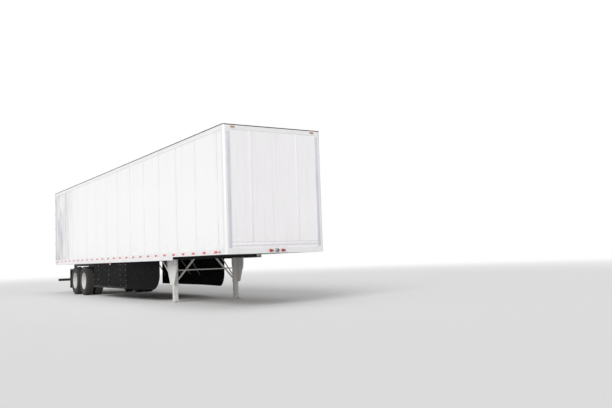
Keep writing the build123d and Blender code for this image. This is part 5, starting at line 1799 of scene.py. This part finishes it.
@dataclass
class Coupler(Assembly):
    """The upper coupler plate, the kingpin and the connections on the nose."""

    head_r: float = 0.038
    head_z: float = 1.27
    head_y: float = 0.16
    flange_t: float = 0.012
    pin_ring: float = 0.0145

    def build(self) -> None:
        """Dresses the coupler and the connections."""
        self.cover(CHASSIS, 0.0015, "coupler_plate")
        self.plate = Extent.of("coupler_plate")
        self.kingpin = Extent.of("kingpin")
        self.turn_kingpin()
        self.grease_plate()
        for side in Side:
            self.cast_gladhand(side)
        self.fit_socket()

    def turn_kingpin(self) -> None:
        """Turns the kingpin with its collar, its waist and its foot, all filleted."""
        centre = (self.kingpin.middle.x, 0, self.kingpin.low.z)
        top = self.kingpin.high.z - self.kingpin.low.z - 0.001
        profile = [(0, 0), (0, 0.033), (0.0022, 0.0357), (0.012, 0.0357), (0.014, 0.0335), (0.0148, 0.029)]
        profile += [(0.0175, 0.0262), (0.0215, 0.0254), (0.042, 0.0254), (0.046, 0.0265), (0.049, 0.03)]
        profile += [(0.05, 0.0345), (0.053, 0.0365), (top, 0.0365), (top, 0)]
        self.add("kingpin_turned", lathe(profile, centre, UP), BARE, "kingpin")

    def grease_plate(self) -> None:
        """Rings the kingpin with its weld, and plugs the plate with a grid of flush welds."""
        under, back, front = self.plate.low.z, self.plate.low.x, self.plate.high.x
        bead = [(0, 0.0375), (0, 0.048), (-0.002, 0.046), (-0.005, 0.0395), (-0.005, 0.0375)]
        weld = lathe(bead, (self.kingpin.middle.x, 0, under), UP, 40)
        places = [
            (x, side.value * y, under)
            for x in (back + 0.12, back + 0.55, front - 0.62, front - 0.18)
            for y in (0.25, 0.5, 0.75)
            for side in Side
        ]
        plugs = scattered(bar(0.014, ORIGIN, (0, 0, -0.0015), 16, 0.011), places)
        self.add("coupler_welds", [weld, plugs], CHASSIS)

    def cast_gladhand(self, side: Side) -> None:
        """Casts one air coupling: its base with two bolts, its neck, its dished head and its seal.

        Args:
            side: The side that it stands on.
        """
        whole = Extent.of("air_couplings")
        sign, radius, z = side.value, self.head_r, self.head_z
        near, x, y = whole.low.x, whole.high.x - radius, sign * self.head_y
        seat, lug = near + self.flange_t, y - sign * 0.034
        neck = [(near, y - 0.02), (near, y + 0.02), (x, y + 0.028), (x, y - 0.028)]
        horn = [(-0.02, 0.03), (0.022, 0.024), (0.016, 0.037), (-0.014, 0.0375)]
        dish = [(0, 0), (0, 0.03), (0.004, 0.036), (0.01, radius), (0.026, radius), (0.03, 0.036)]
        dish += [(0.03, 0.0275), (0.024, 0.027), (0.024, 0)]
        parts = [
            block((near, y - 0.035, z - 0.03), (seat, y + 0.035, z + 0.03), 0.003),
            plate([(*corner, z - 0.016) for corner in neck], (0, 0, 0.03), 0.004),
            lathe(dish, (x, y, z - 0.018), UP, 40),
            block((x - 0.012, lug, z + 0.006), (x + 0.014, lug - sign * 0.0055, z + 0.018), 0.001),
            plate([(x + dx, y + sign * dy, z + 0.008) for dx, dy in horn], (0, 0, 0.007), 0.001),
        ]
        for dy in (-0.024, 0.024):
            parts.append(moved(hex_bolt(FORWARD, 0.006, 0.006), (seat, y + dy, z + 0.0205)))
        replaced = ["air_couplings"] if side is Side.LEFT else []
        self.add(f"gladhand_{side.word}", parts, COUPLING, *replaced)
        seal = [(0.0055, 0.0265), (0.0125, 0.0262), (0.0135, 0.0235)]
        seal += [(0.012, 0.015), (0.009, 0.0135), (0.0058, 0.015)]
        self.add(f"gladhand_seal_{side.word}", lathe(seal, (x, y, z), UP, 36), RUBBER)

    def fit_socket(self) -> None:
        """Models the socket: its flange with four screws, its barrel, its pins and its hinged lid."""
        whole = Extent.of("electric_socket")
        near, mouth, y, z = whole.low.x, whole.high.x, whole.middle.y, whole.middle.z
        half, deep, face = whole.high.y - y, mouth - near, near + self.flange_t
        barrel = [(0.01, 0), (0.01, 0.037), (0.016, 0.033), (deep - 0.006, 0.032), (deep - 0.002, 0.032)]
        barrel += [(deep, 0.0305), (deep, 0.0265), (0.02, 0.026), (0.02, 0)]
        floor = Vector((near + 0.02, y, z))
        hinge = mouth - 0.01
        parts = [
            block((near, y - half, z - half), (face, y + half, z + half), 0.004),
            lathe(barrel, (near, y, z), FORWARD, 40),
            bar(0.0025, floor, (mouth - 0.012, y, z), 10),
            bar(0.0045, (hinge, y - 0.016, z + 0.0355), (hinge, y + 0.016, z + 0.0355), 12),
            block((mouth - 0.04, y - 0.024, z + 0.0345), (mouth - 0.008, y + 0.024, z + 0.0395), 0.0015),
        ]
        for point in ring(floor, self.pin_ring, 6, OUTWARD):
            parts.append(bar(0.0028, point, point + FORWARD * (deep - 0.032), 10))
        rim = (-half + 0.01, half - 0.01)
        parts += [moved(rivet(FORWARD, 0.0045, 0.003), (face, y + dy, z + dz)) for dy in rim for dz in rim]
        self.add("socket_body", parts, SOCKET, "electric_socket")


@dataclass
class Skirts(Assembly):
    """The side skirts and their struts."""

    bend_x: float = 1.0595
    joint_pitch: float = 1.2
    batten_w: float = 0.06
    batten_t: float = 0.003
    edge_h: float = 0.055
    edge_t: float = 0.005
    screw_pitch: float = 0.16
    screws: int = 5

    def build(self) -> None:
        """Dresses the skirts, and models their joints, flanges and rubber edges."""
        self.cover(SKIRT, 0.0015, "side_skirts")
        self.cover(ZINC, 0.0015, "skirt_struts")
        skirt = Extent.of("side_skirts")
        face, back, foot, head = skirt.high.y, skirt.low.x, skirt.low.z, skirt.high.z
        half, proud = self.batten_w / 2, face + self.batten_t
        joints = int((self.bend_x - back - 0.3) / self.joint_pitch) + 1
        middles = [back + self.joint_pitch * (k + 0.5) for k in range(joints)]
        middles += [back + half, self.bend_x - half - 0.004]
        low, high = foot + 0.004, head - 0.03
        parts = [block((x - half, face, low), (x + half, proud, high), 0.001) for x in middles]
        lip = (self.bend_x, face + 0.004, head - 0.002)
        parts.append(block((back, face - 0.03, head - 0.034), lip, 0.0015))
        self.add_pair("skirt_joints", parts, SKIRT)
        places = [
            (x + dx, proud, foot + 0.1 + self.screw_pitch * k)
            for x in middles
            for dx in (-0.017, 0.017)
            for k in range(self.screws)
        ]
        self.add_pair("skirt_screws", scattered(rivet(OUTWARD, 0.0065, 0.003), places), ZINC)
        end = (self.bend_x - 0.004, face + self.edge_t, foot + self.edge_h)
        self.add_pair("skirt_edges", block((back, face, foot), end, 0.002), RUBBER)


@dataclass
class Tandem(Assembly):
    """The slide rails and the sliding tandem, without its wheel ends."""

    body: str = "bogie"
    spring_y: float = 0.52
    bolt_r: float = 0.011
    leg_x: float = 0.076
    leg_y: float = 0.05
    leg_top: float = 0.175
    chamber: Triple = (-0.188, 0.33, 0.665)
    chamber_l: float = 0.17
    port_r: float = 0.008
    cam_x: float = -0.106
    cam_y: Pair = (0.304, 0.7375)
    slack_t: float = 0.026
    bracket_y: Pair = (0.376, 0.39)
    equaliser_z: float = 0.778
    rod_pins: tuple[Triple, ...] = ((0.105, 0.562, 0.047), (0.6225, 0.676, 0.06))
    dome: float = 0.055
    strap: Triple = (0.2, 0.02, 0.0015)
    tank_steps: int = 56
    flap_inner: float = 0.6725
    flap_ribs: int = 23
    rib_r: float = 0.0032
    strip_t: float = 0.004

    def build(self) -> None:
        """Dresses the running gear and models what is bolted to it."""
        Assembly(self.frame).cover(CHASSIS, 0.0015, "slide_rails")
        self.cover(CHASSIS, 0.002, "slider_frame", "spring_hangers", "axles")
        self.cover(CHASSIS, 0.0015, "equalisers", "radius_rods")
        self.cover(SPRING, 0.0015, "leaf_springs")
        self.cover(ZINC, 0.002, "flap_arms")
        self.axle_z = Extent.of("axles").middle.z
        self.axles = [Extent.of(f"tyres_{place}_left").middle.x for place in PLACES]
        self.tie_springs()
        self.bolt_pins()
        self.fit_brakes()
        self.strap_tank()
        self.hang_flaps()

    def u_bolt(self) -> Piece:
        """One U-bolt round an axle at the origin: a half turn, two straight legs and their nuts.

        Returns:
            The U-bolt.
        """
        at_rest()
        start = (self.leg_x, 0, self.leg_top)
        bpy.ops.mesh.primitive_circle_add(vertices=10, radius=self.bolt_r, location=start)
        bolt = settled()
        with shaping(bolt, Part.EDGES):
            bpy.ops.mesh.select_all(action="SELECT")
            bpy.ops.mesh.extrude_region_move(TRANSFORM_OT_translate={"value": (0, 0, -self.leg_top)})
            bpy.ops.mesh.spin(steps=14, angle=HALF_TURN, center=ORIGIN, axis=OUTWARD)
            bpy.ops.mesh.extrude_region_move(TRANSFORM_OT_translate={"value": (0, 0, self.leg_top)})
            bpy.ops.mesh.edge_face_add()
            closed_up()
            bpy.ops.mesh.select_all(action="DESELECT")
            bpy.ops.mesh.select_non_manifold()
            bpy.ops.mesh.edge_face_add()
            closed_up()
        nut_z = self.leg_top - 0.015
        nuts = [moved(hex_bolt(UP, 0.018, 0.02), (x, 0, nut_z)) for x in (-self.leg_x, self.leg_x)]
        return joined([bolt, *nuts])

    def tie_springs(self) -> None:
        """Ties each spring to its axle with a plate, its centre bolt and two U-bolts."""
        seats = [Vector((x, side.value * self.spring_y, self.axle_z)) for x in self.axles for side in Side]
        legs = [seat + OUTWARD * shift for seat in seats for shift in (-self.leg_y, self.leg_y)]
        self.add("u_bolts", scattered(self.u_bolt(), legs), SPRING)
        clamp = block((-0.105, -0.07, 0.1495), (0.105, 0.07, 0.161), 0.003)
        centre = moved(hex_bolt(UP, 0.012, 0.014), (0, 0, 0.161))
        self.add("spring_plates", scattered(joined([clamp, centre]), seats), SPRING)

    def bolt_pins(self) -> None:
        """Screws a nut on each end of the radius rods' bolts and the equalisers' pins."""
        parts = []
        for way in (OUTWARD, -OUTWARD):
            places = [
                (x + pin_x, self.spring_y + way.y * half, z)
                for x in self.axles
                for pin_x, z, half in self.rod_pins
            ]
            pivot = (sum(self.axles) / 2, self.spring_y + way.y * 0.06, self.equaliser_z)
            parts.append(scattered(hex_bolt(way, 0.016, 0.011), places))
            parts.append(moved(hex_bolt(way, 0.026, 0.014), pivot))
        self.add_pair("pin_nuts", parts, ZINC)

    def fit_brakes(self) -> None:
        """Stands one modelled brake actuator at each of the four places."""
        x, y, z = self.chamber
        self.seat = Vector((x, y, z - self.axle_z))
        model = joined([*self.brake_chamber(), *self.linkage(), *self.bracket()])
        pair = scattered(model, [(x, 0, self.axle_z) for x in self.axles])
        self.add_pair("brakes", pair, CHAMBER, "brake_chambers")

    def brake_chamber(self) -> list[Piece]:
        """The spring-brake chamber with its clamp and ports, measured from an axle at the origin.

        Returns:
            The chamber's pieces.
        """
        back = 0.001 - self.chamber_l
        profile = [(0, 0), (0, 0.03), (-0.004, 0.06), (-0.01, 0.07), (-0.022, 0.076), (-0.058, 0.0805)]
        profile += [(-0.0605, 0.0815), (-0.0615, 0.0875), (-0.064, 0.089), (-0.0685, 0.0865)]
        profile += [(-0.0705, 0.0865), (-0.076, 0.089), (-0.079, 0.0875), (-0.08, 0.0815), (-0.084, 0.079)]
        profile += [(-0.098, 0.073), (-0.104, 0.072), (-0.11, 0.076), (-0.124, 0.08), (-0.142, 0.08)]
        profile += [(-0.156, 0.076), (-0.165, 0.064), (back, 0.04), (back, 0.022)]
        profile += [(back + 0.003, 0.02), (back + 0.003, 0)]
        parts = [lathe(profile, self.seat, FORWARD)]
        for reach in (0.072, 0.125):
            foot = self.seat + Vector((-reach, 0, 0.074))
            parts.append(bar(self.port_r, foot, foot + UP * 0.013, 6))
            parts.append(bar(self.port_r * 0.7, foot, foot + UP * 0.018, 12))
        clamp = self.seat + Vector((-0.07, -0.087, 0))
        parts.append(block(clamp - Vector((0.01, 0.01, 0.016)), clamp + Vector((0.01, 0.004, 0.016)), 0.002))
        parts.append(moved(hex_bolt(UP, 0.007, 0.007), clamp + Vector((0, -0.004, 0.016))))
        return parts

    def linkage(self) -> list[Piece]:
        """The camshaft with its collar, the slack adjuster, and the push rod with its yoke.

        Returns:
            The linkage's pieces.
        """
        back, y, rise = self.seat
        x, half = self.cam_x, self.slack_t / 2
        reach, low, high = half + 0.007, rise - 0.013, rise + 0.013
        lower = arc((x, y - half, 0), 0.033, (HALF_TURN, FULL_TURN), FORWARD, UP, 14)
        upper = arc((x, y - half, rise), 0.017, (0, HALF_TURN), FORWARD, UP, 8)
        cheeks = [
            block((x - 0.026, y + sign * (half + 0.001), low), (x + 0.012, y + sign * reach, high), 0.002)
            for sign in (-1, 1)
        ]
        return [
            plate([*lower, *upper], (0, self.slack_t, 0), 0.004),
            bar(0.019, (x, self.cam_y[0], 0), (x, self.cam_y[1], 0)),
            bar(0.028, (x, y + 0.046, 0), (x, y + 0.06, 0)),
            bar(0.01, (x - 0.03, y, 0.02), (x + 0.034, y, 0.02), 6),
            bar(0.0065, (x, y - half - 0.011, rise), (x, y + half + 0.011, rise), 12),
            bar(0.008, (x - 0.02, y, rise), (back + 0.002, y, rise), 16),
            block((x - 0.03, y - reach, low), (x - 0.022, y + reach, high), 0.002),
            *cheeks,
        ]

    def bracket(self) -> list[Piece]:
        """The bracket that carries the chamber, with its face and its two studs.

        Returns:
            The bracket's pieces.
        """
        x, y, rise = self.seat
        near, far = self.bracket_y
        corners = [(0, 0), (x, 0.09), (x, 0.21), (0, 0.0935)]
        web = plate([(px, near, pz) for px, pz in corners], (0, far - near, 0), 0.002)
        face = block((x, y - 0.045, rise - 0.055), (x + 0.008, far, rise + 0.055), 0.002)
        studs = [
            moved(hex_bolt(FORWARD, 0.01, 0.012), (x + 0.008, y - 0.03, rise + lift))
            for lift in (0.038, -0.038)
        ]
        return [web, face, *studs]

    def strap_tank(self) -> None:
        """Turns the air tank with its domed ends, and straps it up with two bands and a drain."""
        tank = Extent.of("air_tank")
        centre, radius, half = tank.middle, (tank.high.z - tank.low.z) / 2, tank.high.y
        waist = half - self.dome
        dome = [(waist + self.dome * p.x, radius * p.z) for p in arc(ORIGIN, 1, (0, QUARTER), FORWARD, UP, 8)]
        shell = [*dome, *((-along, r) for along, r in reversed(dome))]
        parts = [lathe(shell, centre, OUTWARD, self.tank_steps)]
        for end in (-waist, waist):
            seam = [(end - 0.004, radius - 0.001), (end, radius + 0.0008), (end + 0.004, radius - 0.001)]
            parts.append(lathe(seam, centre, OUTWARD, self.tank_steps))
        foot = centre - UP * radius
        parts.append(bar(0.01, foot + UP * 0.006, foot, 6))
        self.add("air_tank_shell", parts, CHASSIS, "air_tank")
        reach, wide, thick = self.strap
        top = radius + thick
        bands = []
        for y in (-reach, reach):
            section = [(y - wide, radius), (y - wide, top), (y + wide, top), (y + wide, radius)]
            ear = centre + Vector((radius + 0.004, y, 0))
            bands.append(lathe(section, centre, OUTWARD, self.tank_steps))
            low, high = ear - Vector((0.006, 0.018, 0.012)), ear + Vector((0.012, 0.018, 0.012))
            bands.append(block(low, high, 0.002))
            bands.append(moved(hex_bolt(UP, 0.007, 0.008), ear + Vector((0.005, 0, 0.012))))
        self.add("tank_straps", bands, ZINC)

    def hang_flaps(self) -> None:
        """Moulds the ribs of the mud flaps, and clamps each flap under a bolted strip."""
        self.cover(RUBBER, 0.002, "mud_flaps")
        flap, arm = Extent.of("mud_flaps"), Extent.of("flap_arms")
        outer, inner, near = flap.high.y, self.flap_inner, flap.low.x
        foot, head = flap.low.z + 0.03, arm.low.z - 0.03
        upright = bar(self.rib_r, (near, inner + 0.03, foot), (near, inner + 0.03, head), 8)
        row(upright, (0, (outer - inner - 0.06) / (self.flap_ribs - 1), 0), self.flap_ribs)
        level = [bar(self.rib_r, (near, inner + 0.02, z), (near, outer - 0.02, z), 8) for z in (foot, head)]
        self.add_pair("flap_ribs", [upright, *level], RUBBER)
        face = near - self.strip_t
        low, high = arm.low.z + 0.006, arm.high.z - 0.006
        strip = block((face, inner + 0.004, low), (near, outer - 0.004, high), 0.001)
        places = [(face, inner + 0.04 + 0.106 * k, arm.middle.z) for k in range(6)]
        self.add_pair("flap_strips", [strip, scattered(hex_bolt(-FORWARD, 0.008, 0.007), places)], ZINC)


@dataclass
class WheelEnd(Assembly):
    """Twin tyres on their discs, the hub and the drum; one design, copied to its four places."""

    steps: int = 108
    bolt_circle: float = 0.14288
    nuts: int = 10
    hand_holes: int = 5
    hand_hole_r: float = 0.0255
    hand_hole_at: float = 0.198
    dual_spacing: float = 0.342
    groove_depth: float = 0.012
    notch_depth: float = 0.0045
    disc_t: float = 0.012

    def build(self) -> None:
        """Models each piece once, and stands copies of it at the four wheel ends."""
        models = {
            "tyres": self.twin_tyres(),
            "discs": self.twin_discs(),
            "hub": self.hub(),
            "nuts": self.wheel_nuts(),
            "cap": self.hub_cap(),
            "valves": self.valves(),
        }
        finishes = {"discs": WHEEL, "hub": IRON, "nuts": ZINC, "cap": SOCKET, "valves": ZINC}
        replaced = {"tyres": "tyres", "discs": "wheels", "hub": "hub"}
        rubber = {"slot": Slot.TYRE, "colour": (0.016, 0.016, 0.017), "roughness": 0.68, "gloss": 0.25}
        for place in PLACES:
            for side in Side:
                end = f"{place}_{side.word}"
                self.body = f"wheel_end_{end}"
                centre = Extent.of(f"wheels_{end}").middle
                finishes["tyres"] = TyreRubber(name=f"tyre_{place}", axle_x=centre.x, **rubber)
                for kind, model in models.items():
                    piece = copied(model, centre, 0 if side is Side.LEFT else HALF_TURN)
                    nodes = [f"{replaced[kind]}_{end}"] if kind in replaced else []
                    self.add(f"{kind}_{end}_piece", piece, finishes[kind], *nodes)
        for model in models.values():
            bpy.data.objects.remove(model)

    def tyre_profile(self) -> list[Pair]:
        """The tyre's closed section.

        Returns:
            Points as (distance from its middle, radius).
        """
        half = [(0.104, 0.29), (0.1085, 0.297), (0.118, 0.318), (0.128, 0.342), (0.1345, 0.372)]
        half += [(0.1385, 0.405), (0.1375, 0.432), (0.1335, 0.455), (0.135, 0.459), (0.135, 0.465)]
        half += [(0.1325, 0.469), (0.1275, 0.485), (0.1215, 0.499), (0.1135, 0.508), (0.1095, 0.5112)]
        for groove, top in ((0.074, 0.5134), (0.027, 0.5147)):
            floor = top - self.groove_depth
            half += [(groove + 0.0055, top), (groove + 0.004, floor)]
            half += [(groove - 0.004, floor), (groove - 0.0055, top)]
        return half + [(-along, radius) for along, radius in reversed(half)]

    def twin_tyres(self) -> Piece:
        """Two tyres, with notches moulded into their shoulders.

        Returns:
            The pair.
        """
        tyre = lathe(self.tyre_profile(), ORIGIN, OUTWARD, self.steps)
        sector = FULL_TURN / self.steps

        def notch(place: Vector, _way: Vector) -> bool:
            """Passes every third face round the shoulders."""
            step = int((math.atan2(place.z, place.x) + FULL_TURN) / sector)
            return 0.488 < math.hypot(place.x, place.z) < 0.512 and abs(place.y) > 0.105 and step % 3 == 0

        sunk = {"value": -self.notch_depth}
        tool = bpy.ops.mesh.extrude_region_shrink_fatten
        shape(tyre, Part.FACES, notch, tool, TRANSFORM_OT_shrink_fatten=sunk)
        half = self.dual_spacing / 2
        return scattered(tyre, [(0, half, 0), (0, -half, 0)])

    def twin_discs(self) -> Piece:
        """Two disc wheels back to back, each cut with round hand holes.

        Returns:
            The pair.
        """
        profile = [(0.012, 0.1103), (0.012, 0.227), (0.0145, 0.233), (0.0205, 0.2375), (0.04, 0.2405)]
        profile += [(0.135, 0.252), (0.16, 0.2555), (0.17, 0.262), (0.255, 0.269), (0.268, 0.274)]
        profile += [(0.276, 0.286), (0.283, 0.295), (0.2885, 0.2978), (0.2908, 0.295), (0.289, 0.2905)]
        profile += [(0.2795, 0.2895), (0.04, 0.2895), (0.0003, 0.235), (0.0003, 0.1103)]
        disc = lathe(profile, ORIGIN, OUTWARD, 72)
        holes = ring(ORIGIN, self.hand_hole_at, self.hand_holes, FORWARD, HALF_TURN / self.hand_holes)
        cut(disc, [bar(self.hand_hole_r, spot - OUTWARD * 0.03, spot + OUTWARD * 0.05, 28) for spot in holes])
        softened(disc, 0.0018, sharp=0.9)
        return joined([disc, copied(disc, turn=HALF_TURN)])

    def hub(self) -> Piece:
        """The hub's barrel and the ribbed brake drum in one turned casting.

        Returns:
            The casting.
        """
        profile = [(-0.225, 0.2055), (-0.225, 0.2195), (-0.212, 0.2195), (-0.21, 0.215), (-0.15, 0.215)]
        profile += [(-0.148, 0.219), (-0.14, 0.219), (-0.138, 0.215), (-0.052, 0.215), (-0.036, 0.208)]
        profile += [(-0.03, 0.17), (-0.012, 0.168), (-0.012, 0.11), (0.032, 0.11), (0.037, 0.104)]
        profile += [(0.046, 0.093), (0.116, 0.0765), (0.1175, 0.084), (0.1255, 0.084), (0.1265, 0.0455)]
        profile += [(-0.06, 0.0455), (-0.044, 0.204)]
        return lathe(profile, ORIGIN, OUTWARD, 60)

    def wheel_nuts(self) -> Piece:
        """The flanged nuts on their studs, round the bolt circle.

        Returns:
            The nuts.
        """
        parts = []
        for spot in ring(OUTWARD * self.disc_t, self.bolt_circle, self.nuts, FORWARD):
            seat, top = spot + OUTWARD * 0.005, spot + OUTWARD * 0.028
            parts.append(bar(0.0235, spot, seat, 20, 0.0215))
            parts.append(bar(0.019, seat, top, 6))
            parts.append(bar(0.011, top, spot + OUTWARD * 0.042, 12, 0.0098))
        return joined(parts)

    def hub_cap(self) -> Piece:
        """The oil cap with its rim bolts.

        Returns:
            The cap.
        """
        profile = [(0.1255, 0), (0.1255, 0.0825), (0.1315, 0.0825), (0.1335, 0.07), (0.14, 0.064)]
        profile += [(0.146, 0.058), (0.149, 0.05), (0.1495, 0.036), (0.144, 0.0335), (0.144, 0)]
        bolts = scattered(hex_bolt(OUTWARD, 0.0065, 0.006), ring(OUTWARD * 0.1315, 0.0755, 6, FORWARD, 0.25))
        return joined([lathe(profile, ORIGIN, OUTWARD), bolts])

    def valves(self) -> Piece:
        """The bent valve stem of each wheel, out through a hand hole of the disc.

        Returns:
            The stems.
        """
        parts = []
        for hole, reach in ((0.5, 0.052), (2.5, 0.03)):
            angle = FULL_TURN * hole / self.hand_holes
            way = FORWARD * math.cos(angle) + UP * math.sin(angle)
            knee, tip = way * 0.213 + OUTWARD * 0.026, way * 0.196 + OUTWARD * reach
            parts.append(bar(0.0042, way * 0.2385 + OUTWARD * 0.023, knee, 10))
            parts.append(bar(0.004, knee, tip, 10))
            parts.append(bar(0.0052, tip, tip + (tip - knee).normalized() * 0.014, 12, 0.0044))
        return joined(parts)


@dataclass(frozen=True)
class BarLamp:
    """One oblong lamp: where it stands, which way it looks and how large it is."""

    centre: Vector
    way: Vector
    size: Triple

    def layer(self, inset: float, start: float, end: float, ease: float) -> Piece:
        """One layer of the lamp, between two distances from what it is screwed to.

        Args:
            inset: How much smaller than the lamp it is, on each side.
            start: Its distance from the surface.
            end: The distance of its own face.
            ease: The rounding of its edges.

        Returns:
            The layer.
        """
        half = self.way.cross(UP) * (self.size[0] / 2 - inset) + UP * (self.size[2] / 2 - inset)
        return block(self.centre - half + self.way * start, self.centre + half + self.way * end, ease)


@dataclass
class Lamps(Assembly):
    """Tail, marker and clearance lamps, each with its lens and its rim."""

    round_r: float = 0.052
    round_y: tuple[float, ...] = (0.7, 0.82, 0.94)
    round_z: float = 1.19
    header_y: tuple[float, ...] = (-1.15, -0.15, 0.0, 0.15, 1.15)
    header_z: float = 4.048
    header_size: Triple = (0.1, 0.014, 0.03)
    marker_size: Triple = (0.1, 0.018, 0.03)
    rear_marker: Pair = (-7.8345, 1.235)
    front_marker: Pair = (7.7595, 1.265)
    nose_lamp_y: float = 1.05
    mid_x: float = -0.4305
    mid_z: float = 1.095
    mid_size: Triple = (0.11, 0.012, 0.07)
    hanger_t: float = 0.0025
    rim: float = 0.0045

    def build(self) -> None:
        """Models the red lamps, the amber lamps and all their rims."""
        side_y = Extent.of("bottom_rails").high.y
        tail_x = Extent.of("rear_sill").low.x
        nose_x = Extent.of("front_corner_posts").high.x
        red = [BarLamp(Vector((tail_x, y, self.header_z)), -FORWARD, self.header_size) for y in self.header_y]
        amber, rims, tails = [], [], []
        for side in Side:
            sign, y, out = side.value, side.value * side_y, side.out
            nose = Vector((nose_x, sign * self.nose_lamp_y, self.header_z))
            rear, front = (Vector((x, y, z)) for x, z in (self.rear_marker, self.front_marker))
            red.append(BarLamp(rear, out, self.marker_size))
            amber.append(BarLamp(nose, FORWARD, self.marker_size))
            amber.append(BarLamp(front, out, self.marker_size))
            amber.append(BarLamp(Vector((self.mid_x, y, self.mid_z)), out, self.mid_size))
            back = Vector((self.mid_x, y, self.mid_z + 0.02)) - out * self.hanger_t
            rims.append(box_at(back, (0.025, self.hanger_t, self.mid_size[2] / 2), 0.001))
            tails += [Vector((tail_x, sign * place, self.round_z)) for place in self.round_y]
        rims += [lamp.layer(0, 0, lamp.size[1] * 0.55, 0.0025) for lamp in (*red, *amber)]
        rims += [self.grommet(centre) for centre in tails]
        red_lenses = [self.lens(lamp) for lamp in red] + [self.round_lens(centre) for centre in tails]
        self.add("red_lenses", red_lenses, RED_LENS, "red_lamps")
        self.add("amber_lenses", [self.lens(lamp) for lamp in amber], AMBER_LENS, "amber_lamps")
        self.add("lamp_rims", rims, RUBBER)

    def lens(self, lamp: BarLamp) -> Piece:
        """The crowned lens of one oblong lamp.

        Args:
            lamp: The lamp.

        Returns:
            The lens.
        """
        proud = lamp.size[1]
        piece = lamp.layer(self.rim, proud * 0.2, proud - 0.0005, 0)
        shape(piece, Part.FACES, facing(lamp.way), bpy.ops.mesh.inset, thickness=0.004, depth=0.0)
        return softened(piece, 0.003, 3, sharp=0.9)

    def grommet(self, centre: Vector) -> Piece:
        """The rubber ring that a round lamp sits in.

        Args:
            centre: The lamp's place on the surface.

        Returns:
            The ring.
        """
        radius = self.round_r
        profile = [(0, radius), (0.006, radius), (0.0085, radius - 0.0015), (0.0095, radius - 0.004)]
        profile += [(0.0085, radius - 0.0065), (0, radius - 0.0065)]
        return lathe(profile, centre, -FORWARD, 40)

    def round_lens(self, centre: Vector) -> Piece:
        """The domed lens of a round lamp, with a raised ring and a flat middle.

        Args:
            centre: The lamp's place on the surface.

        Returns:
            The lens.
        """
        radius = self.round_r - 0.0064
        profile = [(0.001, 0), (0.001, radius), (0.009, radius), (0.0115, radius - 0.003)]
        profile += [(0.013, radius - 0.01), (0.0137, radius - 0.02)]
        profile += [(0.0137, 0.014), (0.0125, 0.012), (0.0125, 0)]
        return lathe(profile, centre, -FORWARD, 40)


def main() -> None:
    """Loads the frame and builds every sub-assembly in order."""
    logging.basicConfig(level=logging.INFO, format="%(message)s")
    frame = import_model()
    Studio().build()
    assemblies = [VanBody(frame), RearFrame(frame), *(RearDoor(frame, side=side) for side in Side)]
    assemblies += [kind(frame) for kind in (LandingGear, Coupler, Skirts, Tandem, WheelEnd, Lamps)]
    for assembly in assemblies:
        assembly.build()
    at_rest()


if __name__ == "__main__":
    main()
